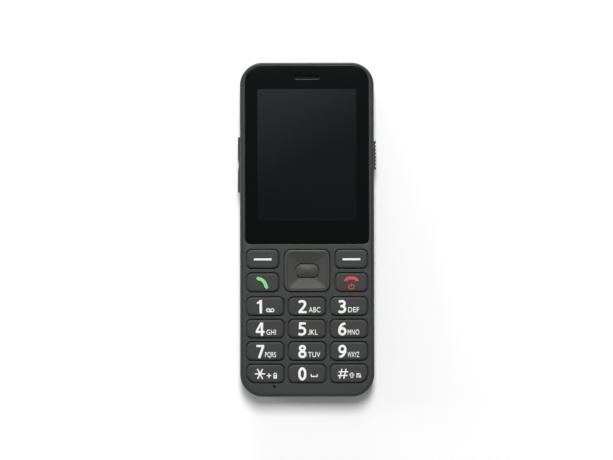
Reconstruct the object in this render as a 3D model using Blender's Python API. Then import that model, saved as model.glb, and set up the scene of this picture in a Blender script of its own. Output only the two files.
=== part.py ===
"""Senior mobile phone: a bar phone with large keys, as an assembly of its real pieces.

Lengths are metres. The phone lies on its back: +Z points out of the display, +Y towards the
earpiece and +X to the right of someone who reads it. The origin is the middle of the back face.
"""

import math

import bmesh
import bpy
from mathutils import Matrix, Vector

MM = 0.001

# General clearances
SEAT_GAP = 0.05 * MM
STACK_GAP = 0.3 * MM
FIT_GAP = 0.2 * MM
OVERRUN = 1.0 * MM
JOIN_DEPTH = 0.25 * MM

# Keys: sizes of the caps, the web between their openings and the gap round each cap
NUMBER_KEY_LENGTH = 6.65 * MM
CALL_KEY_WIDTH = 11.8 * MM
CALL_KEY_LENGTH = 6.75 * MM
KEY_CORNER = 1.85 * MM
END_KEY_CORNER = 3.9 * MM
KEY_GAP = 0.3 * MM
COLUMN_WEB = 1.2 * MM
ROW_WEB = 1.06 * MM
CALL_ROW_WEB = 1.32 * MM
BLOCK_WEB = 1.57 * MM
NAV_SIDE_WEB = 1.6 * MM
FLANGE_OVERLAP = 0.25 * MM
FLANGE_THICKNESS = 0.6 * MM
KEY_PLAY = 0.1 * MM
KEY_TRAVEL = 0.4 * MM
KEY_PROUD = 0.65 * MM
KEY_EDGE_ROUND = 0.22 * MM
KEY_CROWN = 0.12 * MM
KEY_CROWN_INSET_SHARE = 0.3

# Navigation key and the select key in its middle
NAV_CORNER = 2.5 * MM
NAV_FLANGE_CORNER = 5.6 * MM
NAV_FLANGE_THICKNESS = 0.5 * MM
NAV_TILT_ROOM = 0.5 * MM
NAV_PROUD = 0.75 * MM
NAV_RIM_WIDTH = 1.1 * MM
NAV_RIM_CORNER = 1.6 * MM
NAV_DISH_DEPTH = 0.75 * MM
SELECT_WIDTH = 8.6 * MM
SELECT_LENGTH = 4.9 * MM
SELECT_GAP = 0.27 * MM
SELECT_FLANGE = 0.85 * MM
SELECT_FLANGE_THICKNESS = 0.5 * MM
SELECT_POCKET_GAP = 0.4 * MM
SELECT_CROWN = 0.55 * MM
SELECT_STEM_RADIUS = 1.4 * MM
NAV_PAD_INSET = 0.9 * MM
NAV_PAD_THICKNESS = 0.45 * MM
NAV_PLUNGER_RADIUS = 0.75 * MM
NAV_PLUNGER_LENGTH = 0.15 * MM

# Display window and the display behind it
WINDOW_THICKNESS = 0.95 * MM
WINDOW_SINK = 0.05 * MM
WINDOW_SIDE_RIM = 1.9 * MM
WINDOW_END_RIM = 1.06 * MM
WINDOW_END_CORNER = 6.6 * MM
WINDOW_KEY_CORNER = 2.2 * MM
WINDOW_WEB = 1.95 * MM
WINDOW_GAP = 0.1 * MM
ADHESIVE_THICKNESS = 0.15 * MM
ADHESIVE_INSET = 0.4 * MM
LEDGE_THICKNESS = 0.8 * MM
VIEW_WIDTH = 36.72 * MM
VIEW_LENGTH = 48.96 * MM
WINDOW_SIDE_BAND = 4.64 * MM
WINDOW_KEY_BAND = 8.6 * MM
WINDOW_END_BAND = 8.86 * MM
VIEW_MARGIN = 1.2 * MM
GASKET_MARGIN = 0.5 * MM
GASKET_WIDTH = 1.3 * MM
GLASS_SIDE = 1.9 * MM
GLASS_FOOT = 7.0 * MM
GLASS_THICKNESS = 0.95 * MM
TRAY_SIDE = 1.15 * MM
TRAY_FOOT = 2.1 * MM
TRAY_THICKNESS = 1.0 * MM
TRAY_CORNER = 0.6 * MM
FLEX_WIDTH = 15.0 * MM
FLEX_THICKNESS = 0.12 * MM
FLEX_FOOT = 0.5 * MM

# Earpiece slot in the window, the mesh behind it and the receiver
EARPIECE_END = 5.6 * MM
EARPIECE_WIDTH = 9.4 * MM
EARPIECE_HEIGHT = 1.3 * MM
EARPIECE_MARGIN = 0.8 * MM
MESH_THICKNESS = 0.3 * MM
RECEIVER_WIDTH = 12.0 * MM
RECEIVER_LENGTH = 4.8 * MM

# Case: side walls, front plate, rounded edges and the parting line
KEYPAD_SIDE = 2.55 * MM
CHIN = 5.31 * MM
BODY_CORNER = 8.4 * MM
SHELL_WALL = 1.3 * MM
FRONT_PLATE = 1.5 * MM
FRONT_ROUND_INSET = 0.6 * MM
FRONT_ROUND_DROP = 1.2 * MM
PARTING_HEIGHT = 5.1 * MM
PARTING_GAP = 0.1 * MM
CORNER_STEPS = 8
KEY_CORNER_STEPS = 3
ROUND_STEPS = 20

# Back cover
COVER_FLOOR = 1.1 * MM
COVER_WALL = 1.2 * MM
BACK_ROUND_INSET = 2.4 * MM
BACK_ROUND_RISE = 3.4 * MM
BACK_ROUND_STEPS = 4
TAB_LENGTH = 5.0 * MM
TAB_RISE = 1.5 * MM
TAB_THICKNESS = 0.8 * MM
TAB_PLACE_SHARES = (-0.62, 0.0, 0.56)
PRY_NOTCH_WIDTH = 2.2 * MM
PRY_NOTCH_HEIGHT = 0.7 * MM
PRY_NOTCH_PLACE = 6.0 * MM

# Battery and its bay in the rear chassis
BATTERY_WIDTH = 38.0 * MM
BATTERY_LENGTH = 54.0 * MM
BATTERY_THICKNESS = 5.1 * MM
BATTERY_CORNER = 1.5 * MM
BATTERY_GAP = 0.4 * MM
BATTERY_PLAY = 0.15 * MM
CHASSIS_FLOOR = 1.8 * MM
CHASSIS_WALL = 1.2 * MM
BAY_CEILING = 0.6 * MM
BOTTOM_POCKET_LENGTH = 16.2 * MM
POCKET_CORNER = 1.5 * MM
CONNECTOR_WIDTH = 10.0 * MM
CONNECTOR_LENGTH = 3.0 * MM
CONNECTOR_HEIGHT = 3.9 * MM
SIM_WIDTH = 17.0 * MM
SIM_LENGTH = 12.2 * MM
SIM_HEIGHT = 1.4 * MM
SIM_SHEET = 0.25 * MM

# Circuit board, dome sheet and keypad rubber
PCB_THICKNESS = 0.9 * MM
PCB_GAP = 0.7 * MM
FILM_THICKNESS = 0.15 * MM
FILM_MARGIN = 0.4 * MM
DOME_RADIUS = 1.5 * MM
DOME_HEIGHT = 0.35 * MM
DOME_TOP_SHARE = 0.45
DOME_SIDES = 10
MEMBRANE_THICKNESS = 0.3 * MM
PAD_THICKNESS = 0.3 * MM
PAD_INSET = 0.8 * MM
PLUNGER_RADIUS = 1.1 * MM
PLUNGER_LENGTH = 0.7 * MM
PLUNGER_SIDES = 8
MEMBRANE_RIM = 1.0 * MM

# Volume rocker and torch slider in the side walls, each with its switches
SIDE_KEY_HEIGHT = 2.4 * MM
SIDE_KEY_PROUD = 0.8 * MM
SIDE_KEY_GAP = 0.2 * MM
SIDE_KEY_EDGE = 0.3 * MM
ROCKER_LENGTH = 20.6 * MM
ROCKER_PLACE = 3.7 * MM
ROCKER_WAIST = 0.35 * MM
ROCKER_FLANGE_LENGTH = 8.0 * MM
ROCKER_FLANGE_OVERLAP = 0.3 * MM
ROCKER_FLANGE_GAP = 0.2 * MM
ROCKER_FLANGE_THICKNESS = 0.3 * MM
SLIDER_LENGTH = 10.6 * MM
SLIDER_PLACE = 0.2 * MM
SLIDER_NECK_LENGTH = 5.0 * MM
SLIDER_NECK_HEIGHT = 1.8 * MM
SLIDER_TRAVEL = 2.0 * MM
SLIDER_FOOT_THICKNESS = 0.4 * MM
SLIDER_FOOT_OVERLAP = 0.4 * MM
RIB_COUNT = 6
RIB_PITCH = 1.35 * MM
RIB_DEPTH = 0.3 * MM
RIB_CREST_SHARE = 0.3
SWITCH_WIDTH = 1.1 * MM
SWITCH_LENGTH = 3.6 * MM
SWITCH_HEIGHT = 1.35 * MM
SWITCH_GAP = 0.65 * MM
SWITCH_EDGE = 0.1 * MM
ROCKER_SWITCH_OFFSET = 6.0 * MM

# Torch at the earpiece end
TORCH_PLACE = 9.0 * MM
TORCH_LENS_RADIUS = 1.7 * MM
TORCH_LENS_GAP = 0.1 * MM
TORCH_LENS_LENGTH = 1.5 * MM
TORCH_LED_WIDTH = 3.0 * MM
TORCH_LED_LENGTH = 1.0 * MM
TORCH_LED_HEIGHT = 1.7 * MM

# Emergency key on the back and its switch
SOS_RADIUS = 6.0 * MM
SOS_GAP = 0.3 * MM
SOS_SINK = 0.15 * MM
SOS_EDGE = 0.3 * MM
SOS_FLANGE = 0.9 * MM
SOS_FLANGE_THICKNESS = 0.5 * MM
SOS_RECESS_DEPTH = 0.95 * MM
SOS_RECESS_GAP = 0.3 * MM
SOS_STEM_RADIUS = 1.5 * MM
SOS_SPACING = 0.8 * MM
SOS_SWITCH_SIZE = 6.0 * MM
SOS_SWITCH_BUTTON = 1.7 * MM
SOS_SWITCH_BUTTON_LENGTH = 0.8 * MM

# Loudspeaker, motor, shield and aerial
SPEAKER_WIDTH = 15.0 * MM
SPEAKER_LENGTH = 11.0 * MM
SPEAKER_THICKNESS = 3.0 * MM
SPEAKER_RIM = 1.0 * MM
SPEAKER_STEP = 0.4 * MM
SPEAKER_MARGIN = 0.6 * MM
GRILLE_SLOTS = 4
GRILLE_PITCH = 2.0 * MM
GRILLE_SLOT_WIDTH = 0.9 * MM
GRILLE_SLOT_LENGTH = 8.0 * MM
MOTOR_RADIUS = 4.0 * MM
MOTOR_THICKNESS = 2.7 * MM
SHIELD_WIDTH = 8.0 * MM
SHIELD_LENGTH = 22.0 * MM
SHIELD_HEIGHT = 1.3 * MM
SHIELD_EDGE = 0.3 * MM
ANTENNA_HEIGHT = 2.4 * MM
ANTENNA_NOTCH_WIDTH = 11.0 * MM
ANTENNA_NOTCH_LENGTH = 4.0 * MM
ANTENNA_CORNER = 1.0 * MM

# Microphone and charging socket at the bottom end
MIC_PLACE = 12.2 * MM
MIC_END = 3.8 * MM
MIC_HOLE_RADIUS = 0.5 * MM
MIC_WIDTH = 2.75 * MM
MIC_LENGTH = 1.7 * MM
MIC_HEIGHT = 1.05 * MM
BOOT_RADIUS = 0.85 * MM
USB_WIDTH = 8.94 * MM
USB_HEIGHT = 3.26 * MM
USB_DEPTH = 6.4 * MM
USB_SHEET = 0.3 * MM
USB_SINK = 0.15 * MM
USB_GAP = 0.2 * MM
USB_BACK = 0.8 * MM
USB_TONGUE_WIDTH = 6.6 * MM
USB_TONGUE_HEIGHT = 0.7 * MM
USB_TONGUE_SETBACK = 0.8 * MM
USB_CORNER_SHARE = 0.45

# Screws that hold the two halves of the case
SCREW_SIDE = 9.4 * MM
SCREW_END = 3.3 * MM
SCREW_RADIUS = 0.65 * MM
SCREW_HEAD_RADIUS = 1.25 * MM
SCREW_HEAD_HEIGHT = 1.2 * MM
SCREW_GAP = 0.06 * MM
SCREW_HEAD_GAP = 0.15 * MM
SCREW_SEAT = 3.0 * MM
SCREW_THREAD = 3.2 * MM
SCREW_RECESS_RADIUS = 0.6 * MM
SCREW_RECESS_DEPTH = 0.5 * MM
BOSS_RADIUS = 1.35 * MM
BOSS_GAP = 0.25 * MM

# Overall outline: the width follows the display, the length stacks the window and the keys
WINDOW_WIDTH = VIEW_WIDTH + 2 * WINDOW_SIDE_BAND
WINDOW_LENGTH = WINDOW_KEY_BAND + VIEW_LENGTH + WINDOW_END_BAND
BODY_WIDTH = WINDOW_WIDTH + 2 * WINDOW_SIDE_RIM
KEYPAD_WIDTH = BODY_WIDTH - 2 * KEYPAD_SIDE
NUMBER_KEY_WIDTH = (KEYPAD_WIDTH - 2 * (COLUMN_WEB + 2 * KEY_GAP)) / 3
COLUMN_PITCH = NUMBER_KEY_WIDTH + COLUMN_WEB + 2 * KEY_GAP
ROW_PITCH = NUMBER_KEY_LENGTH + ROW_WEB + 2 * KEY_GAP
CALL_ROW_PITCH = CALL_KEY_LENGTH + CALL_ROW_WEB + 2 * KEY_GAP
NUMBER_BLOCK_LENGTH = 3 * ROW_PITCH + NUMBER_KEY_LENGTH
CALL_BLOCK_LENGTH = CALL_ROW_PITCH + CALL_KEY_LENGTH
BODY_LENGTH = (CHIN + NUMBER_BLOCK_LENGTH + BLOCK_WEB + 2 * KEY_GAP + CALL_BLOCK_LENGTH
               + KEY_GAP + WINDOW_WEB + WINDOW_LENGTH + WINDOW_END_RIM)
BOTTOM_END = -BODY_LENGTH / 2
TOP_END = BODY_LENGTH / 2

# Places along the phone
LAST_ROW_Y = BOTTOM_END + CHIN + NUMBER_KEY_LENGTH / 2
FIRST_ROW_Y = LAST_ROW_Y + 3 * ROW_PITCH
CALL_ROW_Y = FIRST_ROW_Y + NUMBER_KEY_LENGTH / 2 + BLOCK_WEB + 2 * KEY_GAP + CALL_KEY_LENGTH / 2
SOFT_ROW_Y = CALL_ROW_Y + CALL_ROW_PITCH
NAV_Y = (CALL_ROW_Y + SOFT_ROW_Y) / 2
CALL_KEY_X = (KEYPAD_WIDTH - CALL_KEY_WIDTH) / 2
NAV_WIDTH = KEYPAD_WIDTH - 2 * (CALL_KEY_WIDTH + NAV_SIDE_WEB + 2 * KEY_GAP)
NAV_LENGTH = CALL_BLOCK_LENGTH
WINDOW_TOP_Y = TOP_END - WINDOW_END_RIM
WINDOW_BOTTOM_Y = WINDOW_TOP_Y - WINDOW_LENGTH
WINDOW_Y = (WINDOW_TOP_Y + WINDOW_BOTTOM_Y) / 2
VIEW_Y = WINDOW_BOTTOM_Y + WINDOW_KEY_BAND + VIEW_LENGTH / 2
VIEW_BOTTOM_Y = VIEW_Y - VIEW_LENGTH / 2
VIEW_TOP_Y = VIEW_Y + VIEW_LENGTH / 2
EARPIECE_Y = TOP_END - EARPIECE_END
ROCKER_Y = WINDOW_Y - ROCKER_PLACE
SLIDER_Y = WINDOW_Y - SLIDER_PLACE

# Heights, from the back face up
BATTERY_BOTTOM = COVER_FLOOR + STACK_GAP
BATTERY_TOP = BATTERY_BOTTOM + BATTERY_THICKNESS
BAY_TOP = BATTERY_TOP + BATTERY_PLAY
CHASSIS_BOTTOM = COVER_FLOOR + STACK_GAP
CHASSIS_FLOOR_TOP = CHASSIS_BOTTOM + CHASSIS_FLOOR
CHASSIS_TOP = BAY_TOP + BAY_CEILING
PCB_BOTTOM = CHASSIS_TOP + STACK_GAP
PCB_TOP = PCB_BOTTOM + PCB_THICKNESS
PCB_MIDDLE = (PCB_BOTTOM + PCB_TOP) / 2
FILM_BOTTOM = PCB_TOP + SEAT_GAP
FILM_TOP = FILM_BOTTOM + FILM_THICKNESS
DOME_TOP = FILM_TOP + DOME_HEIGHT
PLUNGER_BOTTOM = DOME_TOP + SEAT_GAP
MEMBRANE_BOTTOM = PLUNGER_BOTTOM + PLUNGER_LENGTH
MEMBRANE_TOP = MEMBRANE_BOTTOM + MEMBRANE_THICKNESS
PAD_TOP = MEMBRANE_TOP + PAD_THICKNESS
KEY_BOTTOM = PAD_TOP + KEY_TRAVEL + SEAT_GAP
FLANGE_TOP = KEY_BOTTOM + FLANGE_THICKNESS
PLATE_BOTTOM = FLANGE_TOP + KEY_PLAY
BODY_THICKNESS = PLATE_BOTTOM + FRONT_PLATE
KEY_TOP = BODY_THICKNESS + KEY_PROUD
NAV_FLANGE_TOP = PLATE_BOTTOM - NAV_TILT_ROOM
NAV_BOTTOM = NAV_FLANGE_TOP - NAV_FLANGE_THICKNESS
NAV_PAD_TOP = NAV_BOTTOM - NAV_TILT_ROOM
NAV_PAD_BOTTOM = NAV_PAD_TOP - NAV_PAD_THICKNESS
NAV_TOP = BODY_THICKNESS + NAV_PROUD
SELECT_FLANGE_BOTTOM = NAV_BOTTOM + SEAT_GAP
SELECT_FLANGE_TOP = SELECT_FLANGE_BOTTOM + SELECT_FLANGE_THICKNESS
SELECT_POCKET_TOP = SELECT_FLANGE_TOP + SELECT_POCKET_GAP
SELECT_STEM_BOTTOM = DOME_TOP + KEY_TRAVEL + SEAT_GAP
WINDOW_TOP = BODY_THICKNESS - WINDOW_SINK
WINDOW_BOTTOM = WINDOW_TOP - WINDOW_THICKNESS
ADHESIVE_TOP = WINDOW_BOTTOM - SEAT_GAP
ADHESIVE_BOTTOM = ADHESIVE_TOP - ADHESIVE_THICKNESS
LEDGE_TOP = ADHESIVE_BOTTOM - SEAT_GAP
LEDGE_BOTTOM = LEDGE_TOP - LEDGE_THICKNESS
TRAY_BOTTOM = PCB_TOP + 2 * SEAT_GAP
TRAY_TOP = TRAY_BOTTOM + TRAY_THICKNESS
GLASS_BOTTOM = TRAY_TOP + SEAT_GAP
GLASS_TOP = GLASS_BOTTOM + GLASS_THICKNESS
HOUSING_BOTTOM = PARTING_HEIGHT + PARTING_GAP
SIDE_KEY_Z = (CHASSIS_TOP + LEDGE_BOTTOM) / 2
COMPONENT_BOTTOM = PCB_TOP + SEAT_GAP
TORCH_Z = COMPONENT_BOTTOM + TORCH_LED_HEIGHT / 2

# The chassis: its outline, battery bay and the pockets at its two ends
CHASSIS_INSET = COVER_WALL + STACK_GAP
CHASSIS_BOTTOM_END = BOTTOM_END + CHASSIS_INSET
CHASSIS_TOP_END = TOP_END - CHASSIS_INSET
BOTTOM_POCKET_LOW = CHASSIS_BOTTOM_END + CHASSIS_WALL
BOTTOM_POCKET_HIGH = BOTTOM_POCKET_LOW + BOTTOM_POCKET_LENGTH
BAY_LOW = BOTTOM_POCKET_HIGH + CHASSIS_WALL
BATTERY_LOW = BAY_LOW + BATTERY_GAP
BATTERY_HIGH = BATTERY_LOW + BATTERY_LENGTH
CONNECTOR_LOW = BATTERY_HIGH + STACK_GAP
SIM_LOW = CONNECTOR_LOW + CONNECTOR_LENGTH + BATTERY_GAP
BAY_HIGH = SIM_LOW + SIM_LENGTH + BATTERY_GAP
BAY_WIDTH = BATTERY_WIDTH + 2 * BATTERY_GAP
TOP_POCKET_LOW = BAY_HIGH + CHASSIS_WALL
TOP_POCKET_HIGH = CHASSIS_TOP_END - CHASSIS_WALL
POCKET_WIDTH = BODY_WIDTH - 2 * (SCREW_SIDE + SCREW_HEAD_RADIUS + CHASSIS_WALL - FIT_GAP)
SPEAKER_Y = TOP_POCKET_LOW + SPEAKER_MARGIN + SPEAKER_LENGTH / 2
SOS_RECESS_RADIUS = SOS_RADIUS + SOS_FLANGE + SOS_RECESS_GAP
SOS_Y = SPEAKER_Y + SPEAKER_LENGTH / 2 + SOS_SPACING + SOS_RECESS_RADIUS
SCREW_X = BODY_WIDTH / 2 - SCREW_SIDE
SCREW_TOP_Y = TOP_END - SCREW_END
SCREW_BOTTOM_Y = BOTTOM_END + SCREW_END
USB_FACE_Y = BOTTOM_END + USB_SINK
USB_BACK_Y = USB_FACE_Y + USB_DEPTH
MIC_Y = BOTTOM_END + MIC_END
SIDE_WALL_X = BODY_WIDTH / 2
SWITCH_X = SIDE_WALL_X - SHELL_WALL - SWITCH_GAP - SWITCH_WIDTH / 2

NUMBER_ROWS = (
    ("key_1", "key_2", "key_3"),
    ("key_4", "key_5", "key_6"),
    ("key_7", "key_8", "key_9"),
    ("key_star", "key_0", "key_hash"),
)

# Linear base colours, roughness and metallic value of each finish
FINISHES = {
    "case_plastic": ((0.060, 0.063, 0.064), 0.48, 0.0),
    "cover_plastic": ((0.050, 0.052, 0.054), 0.55, 0.0),
    "key_plastic": ((0.055, 0.057, 0.056), 0.42, 0.0),
    "nav_plastic": ((0.075, 0.077, 0.076), 0.35, 0.0),
    "window_gloss": ((0.006, 0.006, 0.007), 0.06, 0.0),
    "rubber": ((0.120, 0.120, 0.125), 0.70, 0.0),
    "inner_plastic": ((0.090, 0.092, 0.095), 0.60, 0.0),
    "adhesive": ((0.030, 0.030, 0.030), 0.80, 0.0),
    "lcd": ((0.020, 0.024, 0.026), 0.20, 0.0),
    "tray": ((0.700, 0.700, 0.700), 0.50, 0.0),
    "flex": ((0.450, 0.180, 0.030), 0.45, 0.0),
    "board": ((0.015, 0.080, 0.035), 0.50, 0.0),
    "film": ((0.600, 0.610, 0.620), 0.35, 0.6),
    "steel": ((0.560, 0.570, 0.580), 0.35, 1.0),
    "battery": ((0.080, 0.085, 0.090), 0.50, 0.0),
    "switch_plastic": ((0.030, 0.030, 0.030), 0.55, 0.0),
    "lens": ((0.850, 0.870, 0.900), 0.10, 0.0),
    "led": ((0.900, 0.780, 0.300), 0.40, 0.0),
    "sos_plastic": ((0.450, 0.030, 0.025), 0.45, 0.0),
    "gold": ((0.700, 0.480, 0.150), 0.35, 1.0),
}


def clear_scene():
    """Remove whatever the scene starts with."""
    for found in list(bpy.data.objects):
        bpy.data.objects.remove(found, do_unlink=True)


def new_collection(name):
    """A collection linked to the scene."""
    made = bpy.data.collections.new(name)
    bpy.context.scene.collection.children.link(made)
    return made


clear_scene()
PHONE = new_collection("senior_mobile_phone")
CUTTERS = new_collection("cutters")


def finish(node, kind):
    """The node's own material, from the table of finishes."""
    colour, roughness, metallic = FINISHES[kind]
    made = bpy.data.materials.new(node)
    made.use_nodes = True
    shader = made.node_tree.nodes["Principled BSDF"]
    shader.inputs["Base Color"].default_value = (*colour, 1.0)
    shader.inputs["Roughness"].default_value = roughness
    shader.inputs["Metallic"].default_value = metallic
    return made


def add_part(node, mesh, kind, origin=(0.0, 0.0, 0.0)):
    """Turn a bmesh in phone coordinates into a named part whose origin is the given point."""
    centre = Vector(origin)
    data = bpy.data.meshes.new(node)
    bmesh.ops.translate(mesh, verts=mesh.verts, vec=-centre)
    mesh.to_mesh(data)
    mesh.free()
    data.shade_smooth()
    data.set_sharp_from_angle(angle=math.radians(35.0))
    data.materials.append(finish(node, kind))
    made = bpy.data.objects.new(node, data)
    made.location = centre
    PHONE.objects.link(made)
    return made


def add_cutter(name, mesh):
    """Turn a bmesh into a guide body that cuts or joins and is no part itself."""
    data = bpy.data.meshes.new(name)
    mesh.to_mesh(data)
    mesh.free()
    made = bpy.data.objects.new(name, data)
    made.hide_render = True
    made.display_type = "WIRE"
    CUTTERS.objects.link(made)
    return made


def boolean(part, tool, operation):
    """Cut or join with an exact Boolean."""
    step = part.modifiers.new(tool.name, "BOOLEAN")
    step.operation = operation
    step.solver = "EXACT"
    step.object = tool


def cut(part, name, mesh):
    """Take the shapes in a bmesh out of a part."""
    boolean(part, add_cutter(name, mesh), "DIFFERENCE")


def join(part, name, mesh):
    """Add the shapes in a bmesh to a part that they overlap."""
    boolean(part, add_cutter(name, mesh), "UNION")


def outline(width, length, corner, steps=KEY_CORNER_STEPS, centre=(0.0, 0.0)):
    """A rectangle with round corners, anticlockwise from the lower right corner.

    The corner is one radius, or four: lower right, upper right, upper left, lower left.
    """
    corners = corner if isinstance(corner, tuple) else (corner,) * 4
    signs = ((1, -1), (1, 1), (-1, 1), (-1, -1))
    points = []
    for quarter, (sign, radius) in enumerate(zip(signs, corners)):
        middle_x = centre[0] + sign[0] * (width / 2 - radius)
        middle_y = centre[1] + sign[1] * (length / 2 - radius)
        for step in range(steps + 1):
            angle = (quarter - 1 + step / steps) * math.pi / 2
            points.append((middle_x + radius * math.cos(angle),
                           middle_y + radius * math.sin(angle)))
    return points


def circle(radius, centre=(0.0, 0.0), sides=ROUND_STEPS):
    """A regular polygon's corners, anticlockwise."""
    turns = [2 * math.pi * side / sides for side in range(sides)]
    return [(centre[0] + radius * math.cos(turn), centre[1] + radius * math.sin(turn))
            for turn in turns]


def body_outline(inset):
    """The case's outline, moved inwards by the inset."""
    return outline(BODY_WIDTH - 2 * inset, BODY_LENGTH - 2 * inset, BODY_CORNER - inset,
                   CORNER_STEPS)


def loft(rings, hollow=False):
    """A bmesh skinned through a stack of unlike outlines, given as pairs of outline and height.

    The outlines have equally many points. The ends are capped, or joined to each other where
    the body is hollow along its axis.
    """
    mesh = bmesh.new()
    loops = [[mesh.verts.new((x, y, height)) for x, y in points] for points, height in rings]
    pairs = list(zip(loops, loops[1:]))
    if hollow:
        pairs.append((loops[-1], loops[0]))
    else:
        mesh.faces.new(loops[0])
        mesh.faces.new(loops[-1])
    for lower, upper in pairs:
        for place in range(len(lower)):
            mesh.faces.new((lower[place - 1], lower[place], upper[place], upper[place - 1]))
    bmesh.ops.recalc_face_normals(mesh, faces=mesh.faces)
    if mesh.calc_volume(signed=True) < 0:
        bmesh.ops.reverse_faces(mesh, faces=mesh.faces)
    return mesh


def prisms(*shapes):
    """A bmesh with a straight body for each outline, low height and high height."""
    return merged(*[loft([(points, low), (points, high)]) for points, low, high in shapes])


def box(low, high):
    """A bmesh cube between two opposite corners."""
    mesh = bmesh.new()
    span = Vector(high) - Vector(low)
    middle = (Vector(high) + Vector(low)) / 2
    place = Matrix.Translation(middle) @ Matrix.Diagonal((*span, 1.0))
    bmesh.ops.create_cube(mesh, size=1.0, matrix=place)
    return mesh


def merged(*meshes):
    """One bmesh that holds several, which are freed."""
    together = bmesh.new()
    for mesh in meshes:
        data = bpy.data.meshes.new("passing")
        mesh.to_mesh(data)
        mesh.free()
        together.from_mesh(data)
        bpy.data.meshes.remove(data)
    return together


def turned(mesh, matrix):
    """The bmesh after a transform."""
    bmesh.ops.transform(mesh, matrix=matrix, verts=mesh.verts)
    return mesh


def bevelled(mesh, width, segments=2):
    """The bmesh with all its edges rounded."""
    bmesh.ops.bevel(mesh, geom=mesh.edges[:], offset=width, segments=segments, affect="EDGES",
                    profile=0.5, clamp_overlap=True)
    return mesh


def along_y(mesh, place):
    """A body modelled along +Z from zero, laid along +Y and moved to its place."""
    return turned(mesh, Matrix.Translation(place) @ Matrix.Rotation(math.radians(-90.0), 4, "X"))


def along_x(mesh, place):
    """A body modelled along +Z from zero, laid along +X and moved to its place.

    The model's X becomes -Z here and its Y stays.
    """
    return turned(mesh, Matrix.Translation(place) @ Matrix.Rotation(math.radians(90.0), 4, "Y"))


def key_places():
    """Name, centre, width, length and corner radii of each key that is pressed straight down."""
    found = []
    for row, names in enumerate(NUMBER_ROWS):
        for column, name in enumerate(names):
            centre = ((column - 1) * COLUMN_PITCH, FIRST_ROW_Y - row * ROW_PITCH)
            radii = [KEY_CORNER] * 4
            if name == "key_hash":
                radii[0] = END_KEY_CORNER
            if name == "key_star":
                radii[3] = END_KEY_CORNER
            found.append((name, centre, NUMBER_KEY_WIDTH, NUMBER_KEY_LENGTH, tuple(radii)))
    for name, side, place in (("soft_key_left", -1, SOFT_ROW_Y), ("soft_key_right", 1, SOFT_ROW_Y),
                              ("call_key", -1, CALL_ROW_Y), ("end_key", 1, CALL_ROW_Y)):
        found.append((name, (side * CALL_KEY_X, place), CALL_KEY_WIDTH, CALL_KEY_LENGTH,
                      (KEY_CORNER,) * 4))
    return found


KEYS = key_places()


def grown(centre, width, length, radii, margin):
    """A key's outline, moved outwards by the margin."""
    corners = tuple(radius + margin for radius in radii)
    return outline(width + 2 * margin, length + 2 * margin, corners, centre=centre)


def key_openings():
    """Openings in the front plate for every key, the navigation key among them."""
    low = PLATE_BOTTOM - OVERRUN
    high = BODY_THICKNESS + OVERRUN
    shapes = [(grown(*key[1:], KEY_GAP), low, high) for key in KEYS]
    shapes.append((grown((0.0, NAV_Y), NAV_WIDTH, NAV_LENGTH, (NAV_CORNER,) * 4, KEY_GAP), low, high))
    return prisms(*shapes)


def screw_places():
    """Names and places of the case screws."""
    return (("housing_screw_top_left", (-SCREW_X, SCREW_TOP_Y)),
            ("housing_screw_top_right", (SCREW_X, SCREW_TOP_Y)),
            ("housing_screw_bottom_left", (-SCREW_X, SCREW_BOTTOM_Y)),
            ("housing_screw_bottom_right", (SCREW_X, SCREW_BOTTOM_Y)))


SCREWS = screw_places()


def stadium(width, height, centre=(0.0, 0.0)):
    """An outline with two straight sides and round ends."""
    return outline(width, height, height / 2, 4, centre)


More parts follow.
